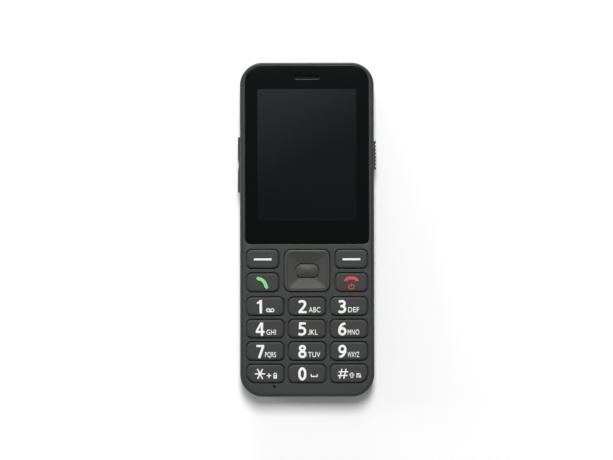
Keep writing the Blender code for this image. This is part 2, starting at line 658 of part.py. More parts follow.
def front_housing():
    """Front case half: the keypad web, the display ledge, the side walls and four bosses."""
    rings = [(body_outline(0.0), HOUSING_BOTTOM)]
    for step in range(BACK_ROUND_STEPS + 1):
        angle = step / BACK_ROUND_STEPS * math.pi / 2
        inset = FRONT_ROUND_INSET * (1 - math.cos(angle))
        height = BODY_THICKNESS - FRONT_ROUND_DROP * (1 - math.sin(angle))
        rings.append((body_outline(inset), height))
    part = add_part("front_housing", loft(rings), "case_plastic")
    low = HOUSING_BOTTOM - OVERRUN
    keypad_high = WINDOW_BOTTOM_Y - WINDOW_WEB / 2
    inner_length = BODY_LENGTH - 2 * SHELL_WALL
    inner_corner = BODY_CORNER - SHELL_WALL
    keypad_length = keypad_high + inner_length / 2
    keypad = outline(BODY_WIDTH - 2 * SHELL_WALL, keypad_length,
                     (inner_corner, KEY_CORNER, KEY_CORNER, inner_corner), CORNER_STEPS,
                     (0.0, keypad_high - keypad_length / 2))
    cut(part, "housing_hollow", prisms((body_outline(SHELL_WALL), low, LEDGE_BOTTOM)))
    cut(part, "housing_keypad_hollow", prisms((keypad, low, PLATE_BOTTOM)))
    cut(part, "housing_key_openings", key_openings())
    window = window_outline(WINDOW_GAP)
    high = BODY_THICKNESS + OVERRUN
    view = outline(VIEW_WIDTH + 2 * VIEW_MARGIN, VIEW_LENGTH + 2 * VIEW_MARGIN, VIEW_MARGIN,
                   centre=(0.0, VIEW_Y))
    sound = stadium(EARPIECE_WIDTH + 2 * EARPIECE_MARGIN, EARPIECE_HEIGHT + 2 * EARPIECE_MARGIN,
                    (0.0, EARPIECE_Y))
    through = LEDGE_BOTTOM - OVERRUN
    cut(part, "housing_window_recess", prisms((window, LEDGE_TOP, high)))
    cut(part, "housing_view_openings", prisms((view, through, high), (sound, through, high)))
    bosses = [(circle(BOSS_RADIUS, place, 16), CHASSIS_TOP + SEAT_GAP, ledge + JOIN_DEPTH)
              for (name, place), ledge in zip(SCREWS, (LEDGE_BOTTOM,) * 2 + (PLATE_BOTTOM,) * 2)]
    join(part, "housing_bosses", prisms(*bosses))
    holes = [(circle(SCREW_RADIUS + SCREW_GAP, place, 12), low,
              CHASSIS_TOP + SCREW_THREAD + STACK_GAP) for name, place in SCREWS]
    holes.append((circle(MIC_HOLE_RADIUS, (-MIC_PLACE, MIC_Y), 12), PLATE_BOTTOM - OVERRUN, high))
    cut(part, "housing_holes", prisms(*holes))
    cut(part, "housing_side_openings", side_openings())


def side_openings():
    """Openings through the walls for the charging socket, side keys and torch lens."""
    wall = SHELL_WALL + 2 * OVERRUN
    usb = stadium(USB_WIDTH + 2 * USB_GAP, USB_HEIGHT + 2 * USB_GAP)
    socket = along_y(prisms((usb, 0.0, wall)), (0.0, BOTTOM_END - OVERRUN, PCB_MIDDLE))
    lens = circle(TORCH_LENS_RADIUS + TORCH_LENS_GAP)
    torch = along_y(prisms((lens, 0.0, wall)),
                    (TORCH_PLACE, TOP_END - SHELL_WALL - OVERRUN, TORCH_Z))
    rocker = outline(SIDE_KEY_HEIGHT + 2 * SIDE_KEY_GAP, ROCKER_LENGTH + 2 * SIDE_KEY_GAP,
                     SIDE_KEY_EDGE)
    volume = along_x(prisms((rocker, 0.0, wall)), (-SIDE_WALL_X - OVERRUN, ROCKER_Y, SIDE_KEY_Z))
    slot = outline(SLIDER_NECK_HEIGHT + 2 * SIDE_KEY_GAP,
                   SLIDER_NECK_LENGTH + SLIDER_TRAVEL + 2 * SIDE_KEY_GAP, SIDE_KEY_EDGE)
    knob = along_x(prisms((slot, 0.0, wall)),
                   (SIDE_WALL_X - SHELL_WALL - OVERRUN, SLIDER_Y + SLIDER_TRAVEL / 2, SIDE_KEY_Z))
    return merged(socket, torch, volume, knob)


def window_outline(margin):
    """The window's outline, moved outwards by the margin."""
    keys, end = WINDOW_KEY_CORNER + margin, WINDOW_END_CORNER + margin
    return outline(WINDOW_WIDTH + 2 * margin, WINDOW_LENGTH + 2 * margin, (keys, end, end, keys),
                   CORNER_STEPS, (0.0, WINDOW_Y))


def key_cap(name, centre, width, length, radii):
    """One key: a flange under the plate, a straight wall and a low crown."""
    flange = KEY_GAP + FLANGE_OVERLAP
    shoulder = KEY_TOP - KEY_CROWN
    crown_inset = KEY_CROWN_INSET_SHARE * length
    shape = (centre, width, length, radii)
    crown = outline(width - 2 * crown_inset, length - 2 * crown_inset, KEY_CORNER / 2,
                    centre=centre)
    mesh = loft([
        (grown(*shape, flange), KEY_BOTTOM),
        (grown(*shape, flange), FLANGE_TOP),
        (grown(*shape, 0.0), FLANGE_TOP),
        (grown(*shape, 0.0), shoulder - KEY_EDGE_ROUND),
        (grown(*shape, -KEY_EDGE_ROUND / 3), shoulder - KEY_EDGE_ROUND / 3),
        (grown(*shape, -KEY_EDGE_ROUND), shoulder),
        (crown, KEY_TOP),
    ])
    add_part(name, mesh, "key_plastic", (*centre, KEY_BOTTOM))


def nav_key():
    """Four-way key: a raised rim, a dish that falls to the middle, and the select key's hole."""
    centre = (0.0, NAV_Y)
    shape = (centre, NAV_WIDTH, NAV_LENGTH, (NAV_CORNER,) * 4)
    flange = KEY_GAP + FLANGE_OVERLAP
    skirt = outline(NAV_WIDTH + 2 * flange, NAV_LENGTH + 2 * flange, NAV_FLANGE_CORNER,
                    centre=centre)
    rim = outline(NAV_WIDTH - 2 * NAV_RIM_WIDTH, NAV_LENGTH - 2 * NAV_RIM_WIDTH, NAV_RIM_CORNER,
                  centre=centre)
    hole = select_outline(SELECT_GAP)
    pocket = select_outline(SELECT_FLANGE + SELECT_POCKET_GAP)
    mesh = loft([
        (skirt, NAV_BOTTOM),
        (skirt, NAV_FLANGE_TOP),
        (grown(*shape, 0.0), NAV_FLANGE_TOP),
        (grown(*shape, 0.0), NAV_TOP - KEY_EDGE_ROUND),
        (grown(*shape, -KEY_EDGE_ROUND), NAV_TOP),
        (rim, NAV_TOP),
        (hole, NAV_TOP - NAV_DISH_DEPTH),
        (hole, SELECT_POCKET_TOP),
        (pocket, SELECT_POCKET_TOP),
        (pocket, NAV_BOTTOM),
    ], hollow=True)
    add_part("nav_key", mesh, "nav_plastic", (0.0, NAV_Y, NAV_PAD_TOP))


def select_outline(margin):
    """The select key's outline, moved outwards by the margin."""
    length = SELECT_LENGTH + 2 * margin
    return outline(SELECT_WIDTH + 2 * margin, length, length / 2, centre=(0.0, NAV_Y))


def select_key():
    """Oval key in the middle of the navigation key, with a stem that reaches its own dome."""
    stem = outline(2 * SELECT_STEM_RADIUS, 2 * SELECT_STEM_RADIUS, SELECT_STEM_RADIUS,
                   centre=(0.0, NAV_Y))
    shoulder = NAV_TOP - SELECT_CROWN
    mesh = loft([
        (stem, SELECT_STEM_BOTTOM),
        (stem, SELECT_FLANGE_BOTTOM),
        (select_outline(SELECT_FLANGE), SELECT_FLANGE_BOTTOM),
        (select_outline(SELECT_FLANGE), SELECT_FLANGE_TOP),
        (select_outline(0.0), SELECT_FLANGE_TOP),
        (select_outline(0.0), shoulder),
        (select_outline(-SELECT_CROWN / 2), shoulder + SELECT_CROWN / 2),
        (select_outline(-3 * SELECT_CROWN), NAV_TOP),
    ])
    add_part("select_key", mesh, "nav_plastic", (0.0, NAV_Y, SELECT_FLANGE_BOTTOM))


def nav_rocker_web():
    """Rubber ring that carries the navigation key, with a plunger for each direction."""
    centre = (0.0, NAV_Y)
    outer = outline(NAV_WIDTH - 2 * NAV_PAD_INSET, NAV_LENGTH - 2 * NAV_PAD_INSET, NAV_CORNER,
                    centre=centre)
    pocket = select_outline(SELECT_FLANGE + SELECT_POCKET_GAP)
    part = add_part("nav_rocker_web",
                    loft([(outer, NAV_PAD_BOTTOM), (outer, NAV_PAD_TOP), (pocket, NAV_PAD_TOP),
                          (pocket, NAV_PAD_BOTTOM)], hollow=True),
                    "rubber", (0.0, NAV_Y, NAV_PAD_TOP))
    plungers = [(circle(NAV_PLUNGER_RADIUS, place, PLUNGER_SIDES),
                 NAV_PAD_BOTTOM - NAV_PLUNGER_LENGTH, NAV_PAD_BOTTOM + JOIN_DEPTH)
                for place in nav_dome_places()]
    join(part, "nav_plungers", prisms(*plungers))


def nav_dome_places():
    """Places of the four domes under the navigation key."""
    margin = NAV_PAD_INSET + NAV_PLUNGER_RADIUS + FIT_GAP / 2
    reach_x = NAV_WIDTH / 2 - margin
    reach_y = NAV_LENGTH / 2 - margin
    return [(-reach_x, NAV_Y), (reach_x, NAV_Y), (0.0, NAV_Y - reach_y), (0.0, NAV_Y + reach_y)]


def display():
    """Window, adhesive frame, gasket, display glass, backlight tray and flexible lead."""
    slot = stadium(EARPIECE_WIDTH, EARPIECE_HEIGHT, (0.0, EARPIECE_Y))
    part = add_part("display_window", prisms((window_outline(0.0), WINDOW_BOTTOM, WINDOW_TOP)),
                    "window_gloss")
    cut(part, "window_slot", prisms((slot, WINDOW_BOTTOM - OVERRUN, WINDOW_TOP + OVERRUN)))
    part = add_part("window_adhesive",
                    prisms((window_outline(-ADHESIVE_INSET), ADHESIVE_BOTTOM, ADHESIVE_TOP)),
                    "adhesive")
    view = outline(VIEW_WIDTH + 2 * VIEW_MARGIN, VIEW_LENGTH + 2 * VIEW_MARGIN, VIEW_MARGIN,
                   centre=(0.0, VIEW_Y))
    sound = stadium(EARPIECE_WIDTH + 2 * EARPIECE_MARGIN, EARPIECE_HEIGHT + 2 * EARPIECE_MARGIN,
                    (0.0, EARPIECE_Y))
    low, high = ADHESIVE_BOTTOM - OVERRUN, ADHESIVE_TOP + OVERRUN
    cut(part, "adhesive_openings", prisms((view, low, high), (sound, low, high)))
    inner = (VIEW_WIDTH + 2 * GASKET_MARGIN, VIEW_LENGTH + 2 * GASKET_MARGIN)
    outer = (inner[0] + 2 * GASKET_WIDTH, inner[1] + 2 * GASKET_WIDTH)
    ring_in = outline(*inner, GASKET_MARGIN, centre=(0.0, VIEW_Y))
    ring_out = outline(*outer, GASKET_MARGIN, centre=(0.0, VIEW_Y))
    gasket_low, gasket_high = GLASS_TOP + SEAT_GAP, LEDGE_BOTTOM - SEAT_GAP
    add_part("display_gasket", loft([(ring_out, gasket_low), (ring_out, gasket_high),
                                     (ring_in, gasket_high), (ring_in, gasket_low)], hollow=True),
             "rubber")
    glass_low = VIEW_BOTTOM_Y - GLASS_FOOT
    glass_high = VIEW_TOP_Y + GLASS_SIDE
    add_part("lcd_glass", box((-VIEW_WIDTH / 2 - GLASS_SIDE, glass_low, GLASS_BOTTOM),
                              (VIEW_WIDTH / 2 + GLASS_SIDE, glass_high, GLASS_TOP)), "lcd")
    tray_low = glass_low - TRAY_FOOT
    tray_high = glass_high + FIT_GAP
    tray = outline(VIEW_WIDTH + 2 * (GLASS_SIDE + TRAY_SIDE), tray_high - tray_low, TRAY_CORNER,
                   centre=(0.0, (tray_low + tray_high) / 2))
    add_part("lcd_tray", prisms((tray, TRAY_BOTTOM, TRAY_TOP)), "tray")
    lcd_flex(tray_low, (GLASS_BOTTOM + GLASS_TOP) / 2, glass_low)


def lcd_flex(tray_low, lead_height, glass_low):
    """Flexible lead: out of the glass, over the tray's end and down to the board."""
    drop = tray_low - SEAT_GAP
    back = drop - FLEX_THICKNESS
    foot_top = COMPONENT_BOTTOM + FLEX_THICKNESS
    start = glass_low - SEAT_GAP
    lead = [(start, lead_height), (start, lead_height + FLEX_THICKNESS),
            (back, lead_height + FLEX_THICKNESS), (back, foot_top), (back - FLEX_FOOT, foot_top),
            (back - FLEX_FOOT, COMPONENT_BOTTOM), (drop, COMPONENT_BOTTOM), (drop, lead_height)]
    side = prisms(([(-height, place) for place, height in lead], 0.0, FLEX_WIDTH))
    add_part("lcd_flex", along_x(side, (-FLEX_WIDTH / 2, 0.0, 0.0)), "flex")


def earpiece():
    """Dust mesh in the ledge and the receiver on the board under it."""
    margin = EARPIECE_MARGIN - FIT_GAP
    cloth = stadium(EARPIECE_WIDTH + 2 * margin, EARPIECE_HEIGHT + 2 * margin, (0.0, EARPIECE_Y))
    add_part("earpiece_mesh", prisms((cloth, LEDGE_TOP - MESH_THICKNESS, LEDGE_TOP)), "steel")
    case = outline(RECEIVER_WIDTH, RECEIVER_LENGTH, RECEIVER_LENGTH / 4,
                   centre=(0.0, TOP_END - SHELL_WALL - FIT_GAP - PCB_GAP - RECEIVER_LENGTH / 2))
    add_part("earpiece_receiver", prisms((case, COMPONENT_BOTTOM, LEDGE_BOTTOM - FIT_GAP)),
             "steel")


def board_outline(inset):
    """The board's outline inside the front case half, moved inwards by the inset."""
    return body_outline(SHELL_WALL + PCB_GAP + inset)


def socket_box(low, high):
    """Room for the charging socket between two heights."""
    side = USB_WIDTH / 2 + USB_GAP
    return box((-side, BOTTOM_END, low), (side, USB_BACK_Y + USB_GAP, high))


def main_pcb():
    """Main board with a notch for the charging socket and holes for the bosses."""
    part = add_part("main_pcb", prisms((board_outline(0.0), PCB_BOTTOM, PCB_TOP)), "board")
    low, high = PCB_BOTTOM - OVERRUN, PCB_TOP + OVERRUN
    holes = prisms(*[(circle(BOSS_RADIUS + BOSS_GAP, place, 12), low, high)
                     for name, place in SCREWS])
    cut(part, "board_notch", socket_box(low, high))
    cut(part, "board_holes", holes)


def keypad_area(inset):
    """Outline of the film and the rubber under the whole keypad, moved inwards by the inset."""
    margin = FILM_MARGIN - inset
    low = LAST_ROW_Y - NUMBER_KEY_LENGTH / 2
    high = SOFT_ROW_Y + CALL_KEY_LENGTH / 2
    lower = END_KEY_CORNER + margin
    upper = KEY_CORNER + margin
    return outline(KEYPAD_WIDTH + 2 * margin, high - low + 2 * margin,
                   (lower, upper, upper, lower), centre=(0.0, (low + high) / 2))


def keypad_rubber():
    """Silicone sheet with a pad and a plunger for each key, open under the navigation key."""
    area = keypad_area(0.0)
    part = add_part("keypad_membrane", prisms((area, MEMBRANE_BOTTOM, MEMBRANE_TOP)), "rubber")
    pads = [(grown(centre, width, length, (KEY_CORNER,) * 4, -PAD_INSET),
             MEMBRANE_TOP - MEMBRANE_THICKNESS / 2, PAD_TOP)
            for name, centre, width, length, radii in KEYS]
    plungers = [(circle(PLUNGER_RADIUS, key[1], PLUNGER_SIDES), PLUNGER_BOTTOM,
                 MEMBRANE_BOTTOM + MEMBRANE_THICKNESS / 2) for key in KEYS]
    rim = keypad_area(MEMBRANE_RIM)
    rim_low, rim_high = FILM_TOP + SEAT_GAP, MEMBRANE_BOTTOM + MEMBRANE_THICKNESS / 2
    nav = outline(NAV_WIDTH, NAV_LENGTH, NAV_CORNER, centre=(0.0, NAV_Y))
    join(part, "membrane_pads", prisms(*pads))
    join(part, "membrane_plungers", prisms(*plungers))
    join(part, "membrane_rim", loft([(area, rim_low), (area, rim_high), (rim, rim_high),
                                     (rim, rim_low)], hollow=True))
    cut(part, "membrane_opening", prisms((nav, FILM_TOP, PAD_TOP + OVERRUN)))
    cut(part, "membrane_socket_notch",
        socket_box(FILM_TOP, MEMBRANE_BOTTOM + MEMBRANE_THICKNESS / 3))


def dome_sheet():
    """Carrier film with a snap dome for each key, each direction and the select key."""
    area = keypad_area(0.0)
    part = add_part("dome_sheet", prisms((area, FILM_BOTTOM, FILM_TOP)), "film")
    places = [key[1] for key in KEYS] + nav_dome_places() + [(0.0, NAV_Y)]
    domes = [loft([(circle(DOME_RADIUS, place, DOME_SIDES), FILM_BOTTOM + FILM_THICKNESS / 2),
                   (circle(DOME_RADIUS, place, DOME_SIDES), FILM_TOP),
                   (circle(DOME_RADIUS * DOME_TOP_SHARE, place, DOME_SIDES), DOME_TOP)])
             for place in places]
    join(part, "domes", merged(*domes))
    cut(part, "film_notch", socket_box(FILM_BOTTOM - OVERRUN, DOME_TOP))


def volume_rocker():
    """Volume key in the left wall: two halves that fall to a waist, and a short inner flange."""
    outer = SIDE_WALL_X + SIDE_KEY_PROUD
    inner = SIDE_WALL_X - SHELL_WALL + ROCKER_FLANGE_GAP / 2
    half = ROCKER_LENGTH / 2
    edge = SIDE_KEY_EDGE
    side = [(outer - edge, -half), (outer, -half + edge), (outer, -half / 3),
            (outer - ROCKER_WAIST, 0.0), (outer, half / 3), (outer, half - edge),
            (outer - edge, half), (inner, half), (inner, -half)]
    points = [(-x, ROCKER_Y - y) for x, y in side]
    low, high = SIDE_KEY_Z - SIDE_KEY_HEIGHT / 2, SIDE_KEY_Z + SIDE_KEY_HEIGHT / 2
    pivot = (-(SIDE_WALL_X - SHELL_WALL - ROCKER_FLANGE_GAP), ROCKER_Y, SIDE_KEY_Z)
    part = add_part("volume_rocker", prisms((points, low, high)), "key_plastic", pivot)
    flange_outer = SIDE_WALL_X - SHELL_WALL - ROCKER_FLANGE_GAP
    reach = SIDE_KEY_HEIGHT / 2 + SIDE_KEY_GAP + ROCKER_FLANGE_OVERLAP
    flange = box((-flange_outer, ROCKER_Y - ROCKER_FLANGE_LENGTH / 2, SIDE_KEY_Z - reach),
                 (-flange_outer + ROCKER_FLANGE_THICKNESS, ROCKER_Y + ROCKER_FLANGE_LENGTH / 2,
                  SIDE_KEY_Z + reach))
    neck = box((-inner - JOIN_DEPTH, ROCKER_Y - ROCKER_FLANGE_LENGTH / 2, low),
               (-flange_outer + ROCKER_FLANGE_THICKNESS / 2, ROCKER_Y + ROCKER_FLANGE_LENGTH / 2,
                high))
    join(part, "rocker_flange", flange)
    join(part, "rocker_neck", neck)


def torch_slider():
    """Ribbed knob on the right wall, with a neck through the wall and a foot behind it."""
    root = SIDE_WALL_X + PARTING_GAP
    crest = SIDE_WALL_X + SIDE_KEY_PROUD
    valley = crest - RIB_DEPTH
    half = SLIDER_LENGTH / 2
    side = [(root, -half), (valley, -half)]
    for rib in range(RIB_COUNT):
        middle = (rib - (RIB_COUNT - 1) / 2) * RIB_PITCH
        side += [(valley, middle - RIB_PITCH / 2 + RIB_PITCH * RIB_CREST_SHARE / 2),
                 (crest, middle - RIB_PITCH * RIB_CREST_SHARE / 2),
                 (crest, middle + RIB_PITCH * RIB_CREST_SHARE / 2)]
    last = (RIB_COUNT / 2) * RIB_PITCH - RIB_PITCH * RIB_CREST_SHARE / 2
    side += [(valley, last), (valley, half), (root, half)]
    points = [(x, SLIDER_Y + y) for x, y in side]
    low, high = SIDE_KEY_Z - SIDE_KEY_HEIGHT / 2, SIDE_KEY_Z + SIDE_KEY_HEIGHT / 2
    part = add_part("torch_slider", prisms((points, low, high)), "key_plastic",
                    (SIDE_WALL_X, SLIDER_Y, SIDE_KEY_Z))
    foot_outer = SIDE_WALL_X - SHELL_WALL - PARTING_GAP
    foot_inner = foot_outer - SLIDER_FOOT_THICKNESS
    neck_half = SLIDER_NECK_LENGTH / 2
    neck = box((foot_inner + PARTING_GAP, SLIDER_Y - neck_half, SIDE_KEY_Z - SLIDER_NECK_HEIGHT / 2),
               (root + JOIN_DEPTH, SLIDER_Y + neck_half, SIDE_KEY_Z + SLIDER_NECK_HEIGHT / 2))
    reach = SLIDER_NECK_HEIGHT / 2 + SIDE_KEY_GAP + SLIDER_FOOT_OVERLAP
    foot = box((foot_inner, SLIDER_Y - neck_half, SIDE_KEY_Z - reach),
               (foot_outer, SLIDER_Y + neck_half, SIDE_KEY_Z + reach))
    join(part, "slider_neck", neck)
    join(part, "slider_foot", foot)


def side_switches():
    """Small switches on the board's edges behind the side keys."""
    for name, side, place in (("volume_switch_upper", -1, ROCKER_Y + ROCKER_SWITCH_OFFSET),
                              ("volume_switch_lower", -1, ROCKER_Y - ROCKER_SWITCH_OFFSET),
                              ("torch_switch", 1, SLIDER_Y + SLIDER_TRAVEL / 2)):
        middle = side * SWITCH_X
        body = box((middle - SWITCH_WIDTH / 2, place - SWITCH_LENGTH / 2, COMPONENT_BOTTOM),
                   (middle + SWITCH_WIDTH / 2, place + SWITCH_LENGTH / 2,
                    COMPONENT_BOTTOM + SWITCH_HEIGHT))
        add_part(name, bevelled(body, SWITCH_EDGE, 1), "switch_plastic")


def torch():
    """Light-emitting diode on the board and the lens in the wall before it."""
    front = TOP_END - SHELL_WALL - PCB_GAP
    led = box((TORCH_PLACE - TORCH_LED_WIDTH / 2, front - TORCH_LED_LENGTH, COMPONENT_BOTTOM),
              (TORCH_PLACE + TORCH_LED_WIDTH / 2, front, COMPONENT_BOTTOM + TORCH_LED_HEIGHT))
    add_part("torch_led", bevelled(led, SWITCH_EDGE, 1), "led")
    flat = circle(TORCH_LENS_RADIUS)
    edge = circle(TORCH_LENS_RADIUS - SWITCH_EDGE)
    lens = loft([(flat, 0.0), (flat, TORCH_LENS_LENGTH - SWITCH_EDGE), (edge, TORCH_LENS_LENGTH)])
    place = (TORCH_PLACE, TOP_END - WINDOW_SINK - TORCH_LENS_LENGTH, TORCH_Z)
    add_part("torch_lens", along_y(lens, place), "lens")


def edge_rings(inset, low, high, edge_inset, rise):
    """Outlines from a flat back up round its edge to a straight side."""
    rings = []
    for step in range(BACK_ROUND_STEPS + 1):
        angle = step / BACK_ROUND_STEPS * math.pi / 2
        rings.append((body_outline(inset + edge_inset * (1 - math.sin(angle))),
                      low + rise * (1 - math.cos(angle))))
    rings.append((body_outline(inset), high))
    return rings


def tab_boxes(margin, low, high):
    """Bodies for the cover's clip tabs, three on each long side."""
    outer = SIDE_WALL_X - SHELL_WALL - PARTING_GAP + margin
    inner = SIDE_WALL_X - SHELL_WALL - PARTING_GAP - TAB_THICKNESS - margin
    half = TAB_LENGTH / 2 + margin
    found = []
    for side in (-1, 1):
        for share in TAB_PLACE_SHARES:
            place = share * TOP_END
            across = sorted((side * inner, side * outer))
            found.append(box((across[0], place - half, low), (across[1], place + half, high)))
    return merged(*found)


def grille():
    """Slots for the loudspeaker through both the cover and the chassis."""
    slots = []
    for slot in range(GRILLE_SLOTS):
        place = SPEAKER_Y + (slot - (GRILLE_SLOTS - 1) / 2) * GRILLE_PITCH
        slots.append((stadium(GRILLE_SLOT_LENGTH, GRILLE_SLOT_WIDTH, (0.0, place)), -OVERRUN,
                      CHASSIS_FLOOR_TOP + FIT_GAP))
    return prisms(*slots)


def battery_cover():
    """Back cover: a shallow tub that wraps round to the parting line, held by six clip tabs."""
    part = add_part("battery_cover",
                    loft(edge_rings(0.0, 0.0, PARTING_HEIGHT, BACK_ROUND_INSET, BACK_ROUND_RISE)),
                    "cover_plastic")
    inner = edge_rings(COVER_WALL, COVER_FLOOR, PARTING_HEIGHT + OVERRUN, BACK_ROUND_INSET,
                       BACK_ROUND_RISE - COVER_FLOOR / 2)
    cut(part, "cover_hollow", loft(inner))
    low = PARTING_HEIGHT - TAB_RISE
    join(part, "cover_tabs", tab_boxes(0.0, low, PARTING_HEIGHT + TAB_RISE))
    ribs = tab_roots(low)
    join(part, "cover_tab_roots", ribs)
    sos = prisms((circle(SOS_RADIUS + SOS_GAP, (0.0, SOS_Y), 28), -OVERRUN, COVER_FLOOR + OVERRUN))
    cut(part, "cover_sos_opening", sos)
    cut(part, "cover_grille", grille())
    notch = box((-PRY_NOTCH_PLACE - PRY_NOTCH_WIDTH / 2, BOTTOM_END - OVERRUN,
                 PARTING_HEIGHT - PRY_NOTCH_HEIGHT),
                (-PRY_NOTCH_PLACE + PRY_NOTCH_WIDTH / 2, BOTTOM_END + COVER_WALL / 2,
                 PARTING_HEIGHT + OVERRUN))
    cut(part, "cover_pry_notch", notch)


def tab_roots(low):
    """Thicker lengths of the cover's wall under its clip tabs."""
    outer = SIDE_WALL_X - COVER_WALL / 2
    inner = SIDE_WALL_X - SHELL_WALL - PARTING_GAP - TAB_THICKNESS
    half = TAB_LENGTH / 2
    found = []
    for side in (-1, 1):
        for share in TAB_PLACE_SHARES:
            place = share * TOP_END
            across = sorted((side * inner, side * outer))
            found.append(box((across[0], place - half, low), (across[1], place + half,
                                                              PARTING_HEIGHT - PARTING_GAP)))
    return merged(*found)


def pocket_bodies(width, spans):
    """Pockets from the front, as wide as given, between each pair of places along the phone."""
    shapes = []
    for low, high in spans:
        pocket = outline(width, high - low, POCKET_CORNER, centre=(0.0, (low + high) / 2))
        shapes.append((pocket, CHASSIS_FLOOR_TOP, CHASSIS_TOP + OVERRUN))
    return prisms(*shapes)


def rear_chassis():
    """Inner rear frame: the battery bay from behind and a pocket from the front at each end."""
    rings = edge_rings(CHASSIS_INSET, CHASSIS_BOTTOM, CHASSIS_TOP, BACK_ROUND_INSET,
                       BACK_ROUND_RISE - COVER_FLOOR / 2)
    part = add_part("rear_chassis", loft(rings), "inner_plastic")
    bay = outline(BAY_WIDTH, BAY_HIGH - BAY_LOW, BATTERY_CORNER,
                  centre=(0.0, (BAY_LOW + BAY_HIGH) / 2))
    cut(part, "chassis_bay", prisms((bay, 0.0, BAY_TOP)))
    ends = ((BOTTOM_POCKET_LOW, BOTTOM_POCKET_HIGH), (TOP_POCKET_LOW, TOP_POCKET_HIGH))
    cut(part, "chassis_end_pockets", pocket_bodies(POCKET_WIDTH, ends))
    screw_room = SCREW_HEAD_RADIUS + CHASSIS_WALL
    middles = ((SCREW_BOTTOM_Y + screw_room, BOTTOM_POCKET_HIGH),
               (TOP_POCKET_LOW, SCREW_TOP_Y - screw_room))
    cut(part, "chassis_wide_pockets", pocket_bodies(BAY_WIDTH, middles))
    recess = circle(SOS_RECESS_RADIUS, (0.0, SOS_Y), 28)
    stem = circle(SOS_STEM_RADIUS + SOS_GAP, (0.0, SOS_Y), 16)
    cut(part, "chassis_sos_recess", prisms((recess, 0.0, CHASSIS_BOTTOM + SOS_RECESS_DEPTH)))
    cut(part, "chassis_sos_hole", prisms((stem, 0.0, CHASSIS_FLOOR_TOP + OVERRUN)))
    cut(part, "chassis_grille", grille())
    heads = [(circle(SCREW_HEAD_RADIUS + SCREW_HEAD_GAP, place, 16), 0.0,
              CHASSIS_BOTTOM + SCREW_SEAT) for name, place in SCREWS]
    shanks = [(circle(SCREW_RADIUS + SCREW_GAP, place, 12), CHASSIS_BOTTOM,
               CHASSIS_TOP + OVERRUN) for name, place in SCREWS]
    cut(part, "chassis_screw_heads", prisms(*heads))
    cut(part, "chassis_screw_holes", prisms(*shanks))
    cut(part, "chassis_tab_notches", tab_boxes(FIT_GAP, 0.0, CHASSIS_TOP + OVERRUN))
    socket = box((-USB_WIDTH / 2 - USB_GAP, BOTTOM_END, PCB_MIDDLE - USB_HEIGHT / 2 - USB_GAP),
                 (USB_WIDTH / 2 + USB_GAP, BOTTOM_POCKET_LOW + OVERRUN, CHASSIS_TOP + OVERRUN))
    cut(part, "chassis_usb_notch", socket)


def battery_parts():
    """Battery, the contact block at its end and the card holder above it."""
    middle = (BATTERY_LOW + BATTERY_HIGH) / 2
    pack = outline(BATTERY_WIDTH, BATTERY_LENGTH, BATTERY_CORNER, centre=(0.0, middle))
    slim = outline(BATTERY_WIDTH - BATTERY_CORNER, BATTERY_LENGTH - BATTERY_CORNER,
                   BATTERY_CORNER / 2, centre=(0.0, middle))
    edge = BATTERY_CORNER / 2
    add_part("battery", loft([(slim, BATTERY_BOTTOM), (pack, BATTERY_BOTTOM + edge),
                              (pack, BATTERY_TOP - edge), (slim, BATTERY_TOP)]), "battery",
             (0.0, middle, BATTERY_BOTTOM))
    part = add_part("battery_connector",
                    box((-CONNECTOR_WIDTH / 2, CONNECTOR_LOW, BAY_TOP - SEAT_GAP - CONNECTOR_HEIGHT),
                        (CONNECTOR_WIDTH / 2, CONNECTOR_LOW + CONNECTOR_LENGTH,
                         BAY_TOP - SEAT_GAP)), "switch_plastic")
    grooves = []
    for place in (-1, 0, 1):
        middle_x = place * CONNECTOR_WIDTH / 4
        grooves.append(box((middle_x - BATTERY_GAP, CONNECTOR_LOW - OVERRUN,
                            BAY_TOP - CONNECTOR_HEIGHT - OVERRUN),
                           (middle_x + BATTERY_GAP, CONNECTOR_LOW + CONNECTOR_LENGTH / 2,
                            BAY_TOP - CONNECTOR_HEIGHT / 3)))
    cut(part, "connector_grooves", merged(*grooves))
    sim_holder()


def sim_holder():
    """Sheet-metal card holder on the bay's ceiling, open at one side for the card."""
    side = -BAY_WIDTH / 2 + BATTERY_CORNER
    low = (side, SIM_LOW, BAY_TOP - SEAT_GAP - SIM_HEIGHT)
    high = (side + SIM_WIDTH, SIM_LOW + SIM_LENGTH, BAY_TOP - SEAT_GAP)
    part = add_part("sim_holder", box(low, high), "steel")
    cut(part, "sim_slot", box((low[0] + SIM_SHEET, low[1] - OVERRUN, low[2] + SIM_SHEET),
                              (high[0] - SIM_SHEET, high[1] - SIM_SHEET, high[2] - SIM_SHEET)))


